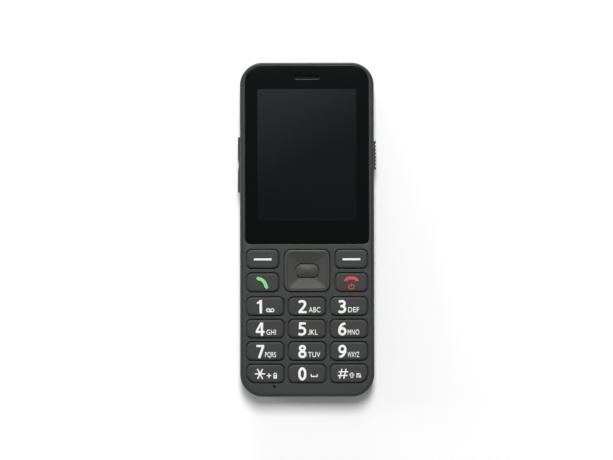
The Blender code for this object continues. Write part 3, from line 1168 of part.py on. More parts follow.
def sos_parts():
    """Emergency key on the back, sunk in the cover, and its switch under the board."""
    rings = [(circle(SOS_RADIUS - SOS_EDGE, (0.0, SOS_Y), 28), SOS_SINK),
             (circle(SOS_RADIUS, (0.0, SOS_Y), 28), SOS_SINK + SOS_EDGE),
             (circle(SOS_RADIUS, (0.0, SOS_Y), 28), COVER_FLOOR + FIT_GAP),
             (circle(SOS_RADIUS + SOS_FLANGE, (0.0, SOS_Y), 28), COVER_FLOOR + FIT_GAP),
             (circle(SOS_RADIUS + SOS_FLANGE, (0.0, SOS_Y), 28), sos_flange_top()),
             (circle(SOS_STEM_RADIUS, (0.0, SOS_Y), 28), sos_flange_top()),
             (circle(SOS_STEM_RADIUS, (0.0, SOS_Y), 28), sos_stem_top())]
    add_part("sos_key", loft(rings), "sos_plastic", (0.0, SOS_Y, SOS_SINK))
    button_low = sos_stem_top() + KEY_TRAVEL + SEAT_GAP
    body_low = button_low + SOS_SWITCH_BUTTON_LENGTH
    half = SOS_SWITCH_SIZE / 2
    part = add_part("sos_switch", box((-half, SOS_Y - half, body_low),
                                      (half, SOS_Y + half, PCB_BOTTOM - SEAT_GAP)),
                    "switch_plastic")
    join(part, "sos_button", prisms((circle(SOS_SWITCH_BUTTON, (0.0, SOS_Y), 16), button_low,
                                     body_low + JOIN_DEPTH)))


def sos_flange_top():
    """Height of the emergency key's flange."""
    return COVER_FLOOR + FIT_GAP + SOS_FLANGE_THICKNESS


def sos_stem_top():
    """Height of the emergency key's stem, just through the chassis floor."""
    return CHASSIS_FLOOR_TOP + STACK_GAP


def sound_and_radio():
    """Loudspeaker, vibration motor, shield can and aerial carrier in the chassis pockets."""
    floor = CHASSIS_FLOOR_TOP + SEAT_GAP
    case = outline(SPEAKER_WIDTH, SPEAKER_LENGTH, SPEAKER_RIM, centre=(0.0, SPEAKER_Y))
    lid = outline(SPEAKER_WIDTH - 2 * SPEAKER_RIM, SPEAKER_LENGTH - 2 * SPEAKER_RIM,
                  SPEAKER_RIM, centre=(0.0, SPEAKER_Y))
    top = floor + SPEAKER_THICKNESS
    add_part("loudspeaker", loft([(case, floor), (case, top - SPEAKER_STEP),
                                  (lid, top - SPEAKER_STEP), (lid, top)]), "switch_plastic")
    motor = (BAY_WIDTH / 2 - MOTOR_RADIUS - FIT_GAP, SPEAKER_Y)
    rim = circle(MOTOR_RADIUS, motor, 24)
    edge = circle(MOTOR_RADIUS - SHIELD_EDGE, motor, 24)
    add_part("vibration_motor", loft([(edge, floor), (rim, floor + SHIELD_EDGE),
                                      (rim, floor + MOTOR_THICKNESS - SHIELD_EDGE),
                                      (edge, floor + MOTOR_THICKNESS)]), "steel")
    shield_x = -BAY_WIDTH / 2 + SHIELD_EDGE
    shield_top = PCB_BOTTOM - SEAT_GAP
    shield_low = TOP_POCKET_LOW + SPEAKER_MARGIN
    shield = box((shield_x, shield_low, shield_top - SHIELD_HEIGHT),
                 (shield_x + SHIELD_WIDTH, shield_low + SHIELD_LENGTH, shield_top))
    add_part("shield_can", bevelled(shield, SHIELD_EDGE, 1), "steel")
    aerial_length = BOTTOM_POCKET_LENGTH - 2 * BATTERY_GAP
    aerial_y = (BOTTOM_POCKET_LOW + BOTTOM_POCKET_HIGH) / 2
    carrier = outline(POCKET_WIDTH - 2 * BATTERY_GAP, aerial_length, ANTENNA_CORNER,
                      centre=(0.0, aerial_y))
    part = add_part("antenna", prisms((carrier, floor, floor + ANTENNA_HEIGHT)), "gold")
    notch_low = BOTTOM_POCKET_HIGH - BATTERY_GAP - ANTENNA_NOTCH_LENGTH
    cut(part, "antenna_notch", box((-ANTENNA_NOTCH_WIDTH / 2, notch_low, floor - OVERRUN),
                                   (ANTENNA_NOTCH_WIDTH / 2, BOTTOM_POCKET_HIGH,
                                    floor + ANTENNA_HEIGHT + OVERRUN)))


def microphone_parts():
    """Microphone on the board and the rubber boot that leads to the hole in the front."""
    place = (-MIC_PLACE, MIC_Y)
    top = COMPONENT_BOTTOM + MIC_HEIGHT
    add_part("microphone", box((place[0] - MIC_WIDTH / 2, place[1] - MIC_LENGTH / 2,
                                COMPONENT_BOTTOM),
                               (place[0] + MIC_WIDTH / 2, place[1] + MIC_LENGTH / 2, top)),
             "steel")
    outer = circle(BOOT_RADIUS, place, 14)
    inner = circle(MIC_HOLE_RADIUS, place, 14)
    low, high = top + SEAT_GAP, PLATE_BOTTOM - SEAT_GAP
    add_part("mic_boot", loft([(outer, low), (outer, high), (inner, high), (inner, low)],
                              hollow=True), "rubber")


def usb_socket():
    """Charging socket: a rolled steel shell round a cavity with a contact tongue."""
    shell = outline(USB_WIDTH, USB_HEIGHT, USB_CORNER_SHARE * USB_HEIGHT, 4)
    cavity = outline(USB_WIDTH - 2 * USB_SHEET, USB_HEIGHT - 2 * USB_SHEET,
                     USB_CORNER_SHARE * USB_HEIGHT - USB_SHEET, 4)
    tongue = outline(USB_TONGUE_WIDTH, USB_TONGUE_HEIGHT, USB_TONGUE_HEIGHT / 4, 1)
    place = (0.0, USB_FACE_Y, PCB_MIDDLE)
    part = add_part("usb_socket", along_y(prisms((shell, 0.0, USB_DEPTH)), place), "steel",
                    place)
    cut(part, "usb_cavity", along_y(prisms((cavity, -OVERRUN, USB_DEPTH - USB_BACK)), place))
    join(part, "usb_tongue", along_y(prisms((tongue, USB_TONGUE_SETBACK,
                                             USB_DEPTH - USB_BACK / 2)), place))


def housing_screws():
    """Case screws, put in from behind through the chassis into the bosses."""
    for name, place in SCREWS:
        seat = CHASSIS_BOTTOM + SCREW_SEAT - SEAT_GAP
        head_low = seat - SCREW_HEAD_HEIGHT
        head = circle(SCREW_HEAD_RADIUS, place, 16)
        shank = circle(SCREW_RADIUS, place, 16)
        recess = circle(SCREW_RECESS_RADIUS, place, 16)
        add_part(name, loft([(recess, head_low + SCREW_RECESS_DEPTH), (recess, head_low),
                             (head, head_low), (head, seat), (shank, seat),
                             (shank, CHASSIS_TOP + SCREW_THREAD)]), "steel", (*place, seat))


front_housing()
for key in KEYS:
    key_cap(*key)
nav_key()
select_key()
nav_rocker_web()
display()
earpiece()
main_pcb()
keypad_rubber()
dome_sheet()
volume_rocker()
torch_slider()
side_switches()
torch()
battery_cover()
rear_chassis()
battery_parts()
sos_parts()
sound_and_radio()
microphone_parts()
usb_socket()
housing_screws()
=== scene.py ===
import math

import bmesh
import bpy
from mathutils import Matrix, Vector


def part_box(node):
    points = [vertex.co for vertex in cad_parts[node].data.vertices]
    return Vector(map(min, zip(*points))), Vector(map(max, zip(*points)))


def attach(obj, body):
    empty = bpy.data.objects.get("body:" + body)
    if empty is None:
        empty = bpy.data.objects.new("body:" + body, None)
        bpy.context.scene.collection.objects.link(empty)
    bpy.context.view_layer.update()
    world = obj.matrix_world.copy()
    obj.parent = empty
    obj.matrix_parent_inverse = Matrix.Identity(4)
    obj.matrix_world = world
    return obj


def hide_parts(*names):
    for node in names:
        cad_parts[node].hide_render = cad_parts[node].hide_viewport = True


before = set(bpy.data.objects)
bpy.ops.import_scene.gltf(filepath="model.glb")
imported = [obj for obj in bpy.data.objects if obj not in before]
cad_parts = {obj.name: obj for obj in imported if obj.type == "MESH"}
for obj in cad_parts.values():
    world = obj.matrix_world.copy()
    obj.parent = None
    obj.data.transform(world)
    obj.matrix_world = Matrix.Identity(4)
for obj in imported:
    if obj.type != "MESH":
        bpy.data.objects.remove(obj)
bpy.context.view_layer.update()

# ------------------------------------------------------------------ front housing
# The front half of the case: side walls, a rounded rim with a fine shadow groove inside it, and
# the web between the keys. Moulded in satin dark grey ABS, and held to the chassis by four screws.

MM = 0.001
NEAR = 0.001  # mm within which two heights or places are the same
HAIR = 0.0001  # mm of inset that is too fine to see, so that the next ring stands upright
BODY_WIDTH, BODY_LENGTH = 49.8, 124.21
WALL_X, WALL_Y = BODY_WIDTH / 2, BODY_LENGTH / 2
HOUSING_BOTTOM, FACE = 5.2, 13.0
BODY_CORNER = 8.4
RIM_INSET, RIM_DROP = 0.78, 1.15
GROOVE_STEPS = ((0.03, 0.0), (0.04, -0.15), (0.2, 0.14), (0.04, 0.01))
SIDE_WALL, PLATE_BOTTOM = 1.3, 11.5
KEY_GAP = 0.3
MIC_PLACE, MIC_RADIUS = (-12.2, -58.305), 0.5
SLOT_PLACE, SLOT_SIZE = (0.0, 56.505), (9.4, 1.3)
VIEW_SIZE, VIEW_Y, VIEW_MARGIN = (36.72, 48.96), 27.705, 1.2


class Shade:
    """A socket of a material's nodes, written with + - * / as a plain sum."""

    def __init__(self, tree, socket=None):
        self.tree, self.socket = tree, socket

    def node(self, kind, inputs=None, out=0, **settings):
        """A new node. Its settings are set first, then the values or links of its sockets."""
        made = self.tree.nodes.new("ShaderNode" + kind)
        for name, value in settings.items():
            setattr(made, name, value)
        for name, value in (inputs or {}).items():
            if isinstance(value, Shade):
                self.tree.links.new(value.socket, made.inputs[name])
            else:
                made.inputs[name].default_value = value
        return Shade(self.tree, made.outputs[out])

    def maths(self, operation, a, b=0.0):
        return self.node("Math", {0: a, 1: b}, operation=operation)

    def part(self, axis):
        """One component of a vector."""
        return self.node("SeparateXYZ", {0: self}, out="XYZ".index(axis))

    def waves(self, axis, pitch):
        """A sine wave along an axis, with a pitch in millimetres."""
        return self.maths("SINE", self.part(axis) * (2 * math.pi / (pitch * MM)))

    def __add__(self, other):
        return self.maths("ADD", self, other)

    def __radd__(self, other):
        return self.maths("ADD", other, self)

    def __sub__(self, other):
        return self.maths("SUBTRACT", self, other)

    def __rsub__(self, other):
        return self.maths("SUBTRACT", other, self)

    def __mul__(self, other):
        return self.maths("MULTIPLY", self, other)

    def __rmul__(self, other):
        return self.maths("MULTIPLY", other, self)


def finish_of(name, **even):
    """A new material, its pattern's start, its place on the object and its Principled shader."""
    material = bpy.data.materials.new(name)
    material.use_nodes = True
    shader = material.node_tree.nodes["Principled BSDF"]
    for socket, value in even.items():
        shader.inputs[socket.replace("_", " ").title().replace("Ior", "IOR")].default_value = value
    start = Shade(material.node_tree)
    return material, start, start.node("TexCoord", out=3), shader


def wire(shader, **varying):
    """Links what changes over the surface to a shader."""
    for socket, value in varying.items():
        value.tree.links.new(value.socket, shader.inputs[socket.replace("_", " ")])


def mixed(mask, dark, light):
    """One colour where the mask is 0 and another where it is 1."""
    return mask.node("Mix", {0: mask, 6: (*dark, 1), 7: (*light, 1)}, out=2, data_type="RGBA")


def moulded(name, colour, roughness, grain=0.22, depth=0.012, spread=0.1, **even):
    """Moulded plastic with a fine spark-eroded grain, and a shine that varies a little."""
    material, start, place, shader = finish_of(name, **even)
    fine = start.node("TexNoise", {"Vector": place, "Scale": 1 / (grain * MM), "Detail": 3.0})
    broad = start.node("TexNoise", {"Vector": place, "Scale": 70.0, "Detail": 2.0})
    dark = tuple(c * (1 - spread) for c in colour)
    light = tuple(c * (1 + spread) for c in colour)
    bump = start.node("Bump", {"Height": fine, "Distance": depth * MM, "Strength": 0.6})
    wire(
        shader,
        Base_Color=mixed(fine * 0.6 + broad * 0.4, dark, light),
        Roughness=roughness - 0.06 + fine * 0.06 + broad * 0.06,
        Normal=bump,
    )
    return material


def alone(*pieces):
    """Selects these pieces and nothing else."""
    bpy.ops.object.select_all(action="DESELECT")
    for piece in pieces:
        piece.select_set(True)
    bpy.context.view_layer.objects.active = pieces[0]


def block(name, low, high):
    """A box between two corners in millimetres, with its origin at the world's."""
    bpy.ops.object.select_all(action="DESELECT")
    middle = [(a + b) / 2 * MM for a, b in zip(low, high)]
    size = [(b - a) * MM for a, b in zip(low, high)]
    bpy.ops.mesh.primitive_cube_add(size=1, location=middle, scale=size)
    piece = bpy.context.object
    piece.name = piece.data.name = name
    bpy.ops.object.transform_apply()
    return piece


def rod(name, radius, low, high, axis="Z", sides=48):
    """A round bar from one end point to the other, along an axis."""
    bpy.ops.object.select_all(action="DESELECT")
    middle = [(a + b) / 2 * MM for a, b in zip(low, high)]
    turn = {"X": (0, math.pi / 2, 0), "Y": (math.pi / 2, 0, 0), "Z": (0, 0, 0)}[axis]
    span = max(abs(b - a) for a, b in zip(low, high)) * MM
    bpy.ops.mesh.primitive_cylinder_add(
        vertices=sides, radius=radius * MM, depth=span, location=middle, rotation=turn
    )
    piece = bpy.context.object
    piece.name = piece.data.name = name
    bpy.ops.object.transform_apply()
    return piece


def pick(piece, kind, test):
    """Opens a piece for editing with the edges or faces selected that pass a test."""
    alone(piece)
    bpy.ops.object.mode_set(mode="EDIT")
    bpy.ops.mesh.select_mode(type=kind)
    bpy.ops.mesh.select_all(action="DESELECT")
    mesh = bmesh.from_edit_mesh(piece.data)
    for part in list(mesh.edges if kind == "EDGE" else mesh.faces):
        if test(part):
            part.select_set(True)
    mesh.select_flush_mode()
    bmesh.update_edit_mesh(piece.data)


def close():
    """Leaves edit mode."""
    bpy.ops.object.mode_set(mode="OBJECT")


def upright(edge):
    a, b = (v.co for v in edge.verts)
    return abs(a.z - b.z) > 0.05 * MM and (a - b).to_2d().length < NEAR * MM


def unrounded(edge):
    """An upright edge that is still a sharp corner."""
    return upright(edge) and edge.calc_face_angle() > 1.0


def at_level(height):
    """A test for the edges or faces that lie at a height."""
    return lambda part: all(abs(v.co.z - height * MM) < NEAR * MM for v in part.verts)


def sharp_at(height):
    """A test for the sharp edges that lie at a height."""
    level = at_level(height)
    return lambda edge: edge.calc_face_angle(0) > 1.2 and level(edge)


def top_face(piece):
    return at_level(max(v.co.z for v in piece.data.vertices) / MM)


def bottom_face(piece):
    return at_level(min(v.co.z for v in piece.data.vertices) / MM)


def body_block(name, wall, low, high, steps):
    """The outline of the case less a wall, as a block between two heights."""
    x, y = WALL_X - wall, WALL_Y - wall
    piece = block(name, (-x, -y, low), (x, y, high))
    soften(piece, BODY_CORNER - wall, steps, upright)
    return piece


def quarter(inset, drop, steps):
    """The steps of a rounded edge: how far each ring goes in and up."""
    turns = [k / steps * math.pi / 2 for k in range(steps + 1)]
    return [
        (inset * (math.cos(a) - math.cos(b)), drop * (math.sin(b) - math.sin(a)))
        for a, b in zip(turns, turns[1:])
    ]


def rings(piece, face, steps):
    """Builds ring after ring inwards and upwards from a face."""
    pick(piece, "FACE", face)
    for inwards, up in steps:
        bpy.ops.mesh.inset(thickness=inwards * MM, depth=up * MM)
    close()


def split(piece, axis, *places):
    """Draws a line right round a piece at each place along an axis, so that no face has a hole in it."""
    for place in places:
        pick(piece, "FACE", lambda face: True)
        at, along = Vector(), Vector()
        at["XYZ".index(axis)], along["XYZ".index(axis)] = place * MM, 1.0
        bpy.ops.mesh.bisect(plane_co=at, plane_no=along)
        close()


def carve(piece, *cutters):
    """Cuts the cutters out of a piece and takes them away."""
    alone(*cutters)
    if len(cutters) > 1:
        bpy.ops.object.join()
    cutter = bpy.context.object
    cut = piece.modifiers.new("cut", "BOOLEAN")
    cut.object, cut.solver = cutter, "EXACT"
    alone(piece)
    bpy.ops.object.modifier_apply(modifier=cut.name)
    bpy.data.objects.remove(cutter)


def soften(piece, width, steps, test):
    """Rounds the edges that pass a test."""
    pick(piece, "EDGE", test)
    bpy.ops.mesh.bevel(offset=width * MM, segments=steps)
    close()


def settle(piece, material, body, *nodes, slot=None, angle=38.0):
    """Shades a finished piece, gives it its material and puts it on its body."""
    pick(piece, "FACE", lambda face: len(face.verts) > 4)
    bpy.ops.mesh.quads_convert_to_tris(ngon_method="BEAUTY")
    close()
    alone(piece)
    bpy.ops.object.shade_smooth_by_angle(angle=math.radians(angle))
    flat = piece.modifiers.new("flat", "WEIGHTED_NORMAL")
    flat.keep_sharp = True
    bpy.ops.object.modifier_apply(modifier=flat.name)
    piece.data.materials.clear()
    piece.data.materials.append(material)
    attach(piece, body)
    if nodes:
        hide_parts(*nodes)


def middle_of(node):
    low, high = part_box(node)
    return [(a + b) / 2 / MM for a, b in zip(low, high)]


case_plastic = moulded("case_plastic", (0.037, 0.039, 0.0393), 0.46, specular_ior_level=0.17)

housing = body_block("front_shell", 0.0, HOUSING_BOTTOM, FACE - RIM_DROP, 20)
rings(housing, top_face(housing), [*quarter(RIM_INSET, RIM_DROP, 8), *GROOVE_STEPS])
carve(housing, body_block("hollow", SIDE_WALL, HOUSING_BOTTOM - 1, PLATE_BOTTOM, 12))
rows = ("key_1", "key_4", "key_7", "key_0", "call_key", "soft_key_left")
split(housing, "X", *(middle_of(key)[0] for key in ("key_1", "key_2", "key_3")))
split(housing, "Y", *(middle_of(key)[1] for key in rows))
split(housing, "Y", MIC_PLACE[1], VIEW_Y, SLOT_PLACE[1])

KEY_CORNER, END_CORNER, NAV_CORNER = 1.85, 3.3, 2.5
NUMBER_SIZE, CALL_SIZE, NAV_SIZE = (13.7, 6.65), (11.8, 6.75), (16.7, 15.42)
NUMBER_KEYS = [f"key_{name}" for name in (*range(1, 10), "star", 0, "hash")]
CALL_KEYS = ["soft_key_left", "soft_key_right", "call_key", "end_key"]
END_CORNERS = {"key_star": (-1, -1), "key_hash": (1, -1)}


def grown(size, margin):
    """A size with a margin on every side."""
    return [s + 2 * margin for s in size]


def corner_block(name, centre, size, low, high, corner, wide=None, wide_corner=0.0, steps=8):
    """A rounded block round a centre, with one corner, named by its two signs, rounder than the rest."""
    (x, y), (w, l) = centre, size
    piece = block(name, (x - w / 2, y - l / 2, low), (x + w / 2, y + l / 2, high))
    at = lambda e: (e.verts[0].co.x > x * MM, e.verts[0].co.y > y * MM)
    chosen = None if wide is None else (wide[0] > 0, wide[1] > 0)
    if chosen:
        soften(piece, wide_corner, steps, lambda e: upright(e) and at(e) == chosen)
    soften(piece, corner, steps, lambda e: unrounded(e) and at(e) != chosen)
    return piece


key_sizes = dict.fromkeys(NUMBER_KEYS, NUMBER_SIZE)
key_sizes.update(dict.fromkeys(CALL_KEYS, CALL_SIZE), nav_key=NAV_SIZE)
openings = []
for key, size in key_sizes.items():
    openings.append(
        corner_block(
            "opening",
            middle_of(key)[:2],
            grown(size, KEY_GAP),
            PLATE_BOTTOM - 1,
            FACE + 1,
            (NAV_CORNER if key == "nav_key" else KEY_CORNER) + KEY_GAP,
            END_CORNERS.get(key),
            END_CORNER + KEY_GAP,
        )
    )
openings.append(
    rod("opening", MIC_RADIUS, (*MIC_PLACE, PLATE_BOTTOM - 1), (*MIC_PLACE, FACE + 1), sides=32)
)

WINDOW_LOW, WINDOW_HIGH = (-23.0, -5.375), (23.0, 61.045)
WINDOW_BOTTOM, WINDOW_TOP = 12.0, 12.95
WINDOW_CORNERS = (6.6, 2.2)
WINDOW_GAP = 0.1


def window_block(name, grow, bottom, top, steps=16):
    """The window's outline, with wide corners at the earpiece end and tight ones at the keys."""
    low = [v - grow for v in WINDOW_LOW]
    high = [v + grow for v in WINDOW_HIGH]
    piece = block(name, (*low, bottom), (*high, top))
    for far, corner in zip((True, False), WINDOW_CORNERS):
        soften(
            piece,
            corner + grow,
            steps,
            lambda e: unrounded(e) and (e.verts[0].co.y > VIEW_Y * MM) == far,
        )
    return piece


openings.append(window_block("opening", WINDOW_GAP, WINDOW_BOTTOM, FACE + 1))
carve(housing, *openings)
carve(
    housing,
    corner_block("opening", (0, VIEW_Y), grown(VIEW_SIZE, VIEW_MARGIN), PLATE_BOTTOM - 1, FACE, 0.6),
    corner_block("opening", SLOT_PLACE, SLOT_SIZE, PLATE_BOTTOM - 1, FACE, 0.64),
)


def lying(piece, place):
    """Lays an upright piece down, so that its top looks along -Y, and puts it in its place."""
    alone(piece)
    piece.rotation_euler = (math.pi / 2, 0, 0)
    piece.location = Vector(place) * MM
    bpy.ops.object.transform_apply()
    return piece


SIDE_KEY_Z, SIDE_KEY_HALF, SIDE_GAP = 9.075, 1.2, 0.2
ROCKER_Y, ROCKER_HALF = 24.135, 10.3
SLIDER_Y, SLIDER_HALF, SLIDER_TRAVEL = 27.635, 5.3, 2.0
TORCH_PLACE, TORCH_RADIUS, TORCH_GAP = (9.0, 9.3), 1.7, 0.1
SOCKET_SIZE, SOCKET_Z, SOCKET_GAP = (8.94, 3.26), 7.95, 0.2
NECK_HALF_LENGTH, NECK_HALF_HEIGHT = 2.5, 0.9
carve(
    housing,
    block(
        "slot",
        (-WALL_X - 1, ROCKER_Y - ROCKER_HALF - SIDE_GAP, SIDE_KEY_Z - SIDE_KEY_HALF - SIDE_GAP),
        (-WALL_X + 2, ROCKER_Y + ROCKER_HALF + SIDE_GAP, SIDE_KEY_Z + SIDE_KEY_HALF + SIDE_GAP),
    ),
    block(
        "slot",
        (WALL_X - 2, SLIDER_Y - NECK_HALF_LENGTH - SIDE_GAP, SIDE_KEY_Z - NECK_HALF_HEIGHT - SIDE_GAP),
        (
            WALL_X + 1,
            SLIDER_Y + NECK_HALF_LENGTH + SLIDER_TRAVEL + SIDE_GAP,
            SIDE_KEY_Z + NECK_HALF_HEIGHT + SIDE_GAP,
        ),
    ),
    rod(
        "hole",
        TORCH_RADIUS + TORCH_GAP,
        (TORCH_PLACE[0], WALL_Y - 3, TORCH_PLACE[1]),
        (TORCH_PLACE[0], WALL_Y + 1, TORCH_PLACE[1]),
        "Y",
    ),
    lying(
        corner_block(
            "hole", (0, 0), grown(SOCKET_SIZE, SOCKET_GAP), -2, 2, SOCKET_SIZE[1] / 2 + 0.19, steps=12
        ),
        (0, -WALL_Y + 0.5, SOCKET_Z),
    ),
)


def rim_edge(edge):
    """A sharp edge of the openings in the face, except the microphone's small hole."""
    near_mic = (edge.verts[0].co - Vector((*MIC_PLACE, FACE)) * MM).length < 1.5 * MIC_RADIUS * MM
    return not near_mic and sharp_at(FACE)(edge)


soften(housing, 0.17, 3, rim_edge)
settle(housing, case_plastic, "phone_case", "front_housing", slot="case_plastic")

# ------------------------------------------------------------------ display window
# One flat sheet of gloss black acrylic over the display, printed black from behind round a clear
# view. It lies in the recess of the front housing on a ring of double-sided tape.

# The second colour is the clear view at its lightest, where the painted reflection at the top left is
# strongest.
BLACK_PRINT, CLEAR_VIEW_REFLECTED = (0.0017, 0.002, 0.0023), (0.0125, 0.0135, 0.016)
WINDOW_EDGE = 0.12
window_gloss, start, place, shader = finish_of("window_gloss", specular_ior_level=0.3)
x_out, y_out = place.part("X"), place.part("Y")
across = start.maths("ABSOLUTE", x_out)
along = start.maths("ABSOLUTE", y_out - VIEW_Y * MM)
inside_x = start.maths("LESS_THAN", across, VIEW_SIZE[0] / 2 * MM)
inside_y = start.maths("LESS_THAN", along, VIEW_SIZE[1] / 2 * MM)
inside = inside_x * inside_y
# Painted reflection: the clear view is painted lighter towards the top left, as if a soft light were
# mirrored there, and nearly as black as the print towards the bottom right.
painted_reflection = start.node(
    "MapRange",
    {0: y_out - x_out * 0.8, 1: 20 * MM, 2: 66 * MM, 3: 0.0, 4: 1.0},
    interpolation_type="SMOOTHSTEP",
)
wire(
    shader,
    Base_Color=mixed(inside * (0.14 + painted_reflection * 0.86), BLACK_PRINT, CLEAR_VIEW_REFLECTED),
    Roughness=0.06 + inside * 0.03,
)

window = window_block("window_pane", 0.0, WINDOW_BOTTOM, WINDOW_TOP - WINDOW_EDGE, 24)
rings(window, top_face(window), quarter(WINDOW_EDGE, WINDOW_EDGE, 3))
carve(window, corner_block("slot", SLOT_PLACE, SLOT_SIZE, WINDOW_BOTTOM - 1, WINDOW_TOP + 1, 0.649))
soften(window, 0.07, 2, sharp_at(WINDOW_TOP))
settle(window, window_gloss, "phone_case", "display_window", slot="window_gloss")


def dress(material, *nodes):
    """Gives CAD nodes that stay as they are their own finish."""
    for name in nodes:
        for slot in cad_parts[name].material_slots:
            slot.material = material


material, start, place, shader = finish_of(
    "perforated_mesh", metallic=0.3, roughness=0.6, specular_ior_level=0.2
)
MESH_PITCH = 0.3
weave = place.waves("X", MESH_PITCH) * place.waves("Y", MESH_PITCH)
# The holes are painted near black: painted shade for the dark space seen through them, while the wires
# keep the metal's own colour.
hole_shade = start.maths("GREATER_THAN", weave, 0.35)
wire(
    shader,
    Base_Color=mixed(hole_shade, (0.014, 0.0145, 0.015), (0.001, 0.001, 0.001)),
    Normal=start.node("Bump", {"Height": 1 - weave, "Distance": 0.05 * MM, "Strength": 0.5}),
)
dress(material, "earpiece_mesh")

# ------------------------------------------------------------------ number keys
# Twelve caps with large print, each on its own plunger, held by a flange under the web. The same
# satin plastic as the case, a little finer in grain, with a softly rounded edge all round. The 5
# has a small raised dot on each side, to be found by touch.

key_plastic = moulded(
    "key_plastic", (0.0378, 0.0392, 0.038), 0.46, grain=0.16, depth=0.008, specular_ior_level=0.15
)
KEY_BOTTOM, FLANGE_TOP, KEY_TOP = 10.8, 11.4, 13.65
FLANGE_OVER = 0.55
KEY_ROUND = (0.72, 0.36)
DOT_RADIUS, DOT_RISE, DOT_PLACES = 0.17, 0.07, (-5.9, 5.68)


def key_cap(key, size):
    """A key from its flange up to its rounded top."""
    piece = corner_block(
        "cap_" + key,
        middle_of(key)[:2],
        grown(size, FLANGE_OVER),
        KEY_BOTTOM,
        FLANGE_TOP,
        KEY_CORNER + FLANGE_OVER,
        END_CORNERS.get(key),
        END_CORNER + FLANGE_OVER,
    )
    wall = KEY_TOP - KEY_ROUND[1] - FLANGE_TOP
    rings(piece, top_face(piece), [(FLANGE_OVER, 0.0), (HAIR, wall), *quarter(*KEY_ROUND, 8)])
    return piece


def twin(piece, source, key):
    """A copy of a key's cap with its own mesh, moved from that key's place to another's."""
    alone(piece)
    bpy.ops.object.duplicate()
    made = bpy.context.object
    made.name = made.data.name = "cap_" + key
    here, there = middle_of(source), middle_of(key)
    made.location = Vector((there[0] - here[0], there[1] - here[1], 0)) * MM
    bpy.ops.object.transform_apply()
    return made


first = key_cap("key_1", NUMBER_SIZE)
for key in NUMBER_KEYS:
    if key in END_CORNERS:
        cap = key_cap(key, NUMBER_SIZE)
    else:
        cap = first if key == "key_1" else twin(first, "key_1", key)
    if key == "key_5":
        y = middle_of(key)[1]
        dots = [
            rod("dot", DOT_RADIUS, (x, y, KEY_TOP - 0.2), (x, y, KEY_TOP + DOT_RISE), sides=16)
            for x in DOT_PLACES
        ]
        for dot in dots:
            soften(dot, 0.06, 2, lambda e: all(v.co.z > KEY_TOP * MM for v in e.verts))
        alone(cap, *dots)
        bpy.ops.object.join()
    settle(cap, key_plastic, key, key, slot="key_plastic")

# ------------------------------------------------------------------ soft keys and call keys
# Two soft keys and the two call keys beside the navigation key. They are shorter caps of the same
# moulding as the number keys.

first = key_cap("soft_key_left", CALL_SIZE)
for key in CALL_KEYS:
    cap = first if key == "soft_key_left" else twin(first, "soft_key_left", key)
    settle(cap, key_plastic, key, key, slot="key_plastic")

# ------------------------------------------------------------------ printed legends
# Large digits, the letter groups beside them and the call symbols. Pad-printed in white, green and
# red on the flat tops of the keys, a few hundredths of a millimetre thick. A stroke is a run of
# points in millimetres and a width.

DIGIT_WIDTH, DIGIT_HEIGHT, DIGIT_BASE = 3.2, 4.93, -2.6
LETTER_HEIGHT, LETTER_BASE = 1.9, -2.23
CAP_HEIGHT = 0.69  # of the font's capitals, against its size
INK_FLAT = 0.04  # height of a printed stroke against its width
RING = ((0, 1), (-0.72, 0.72), (-1, 0), (-0.72, -0.72), (0, -1), (0.72, -0.72), (1, 0), (0.72, 0.72))


def ring_at(x, y, across, along, width):
    """A closed oval stroke."""
    return [(x + a * across, y + b * along) for a, b in RING], width, True


DIGITS = {
    "1": [([(1.52, 0), (1.52, 4.93)], 0.94), ([(1.7, 4.66), (0.1, 3.66)], 0.66)],
    "2": [
        (
            [(0.22, 3.98), (0.8, 4.37), (1.5, 4.47), (2.26, 4.17), (2.5, 3.42), (2.03, 2.35)]
            + [(1.2, 1.3), (0.5, 0.6)],
            0.9,
        ),
        ([(0.08, 0.42), (3.12, 0.42)], 0.82),
    ],
    "3": [
        ([(0.26, 4.2), (1.15, 4.48), (2.05, 4.22), (2.32, 3.56), (1.95, 2.86), (0.9, 2.62)], 0.88),
        ([(0.9, 2.62), (2.05, 2.35), (2.5, 1.54), (2.1, 0.71), (1.15, 0.44), (0.1, 0.68)], 0.9),
    ],
    "4": [
        ([(2.32, 0), (2.32, 4.93)], 0.88),
        ([(2.12, 4.78), (0.34, 1.62)], 0.76),
        ([(0.04, 1.42), (3.32, 1.42)], 0.76),
    ],
    "5": [
        ([(0.5, 4.53), (2.86, 4.53)], 0.8),
        ([(0.84, 4.8), (0.66, 2.5)], 0.82),
        (
            [(0.42, 2.74), (1.3, 2.94), (2.25, 2.55), (2.58, 1.65), (2.18, 0.74), (1.25, 0.44)]
            + [(0.14, 0.68)],
            0.9,
        ),
    ],
    "6": [
        (
            [(2.76, 4.5), (1.75, 4.22), (0.9, 3.3), (0.5, 1.95), (0.76, 0.88), (1.58, 0.44)]
            + [(2.4, 0.84), (2.66, 1.6), (2.38, 2.4), (1.68, 2.74), (1.0, 2.45), (0.58, 1.9)],
            0.88,
        )
    ],
    "7": [([(0.08, 4.52), (3.02, 4.52)], 0.82), ([(2.62, 4.48), (1.1, 0.0)], 0.92)],
    "8": [ring_at(1.6, 3.68, 0.88, 0.8, 0.86), ring_at(1.6, 1.42, 1.07, 0.98, 0.89)],
    "0": [ring_at(1.57, 2.465, 1.05, 2.0, 0.92)],
}
DIGITS["9"] = [
    ([(DIGIT_WIDTH - x, DIGIT_HEIGHT - y) for x, y in points], width)
    for points, width in DIGITS["6"]
]


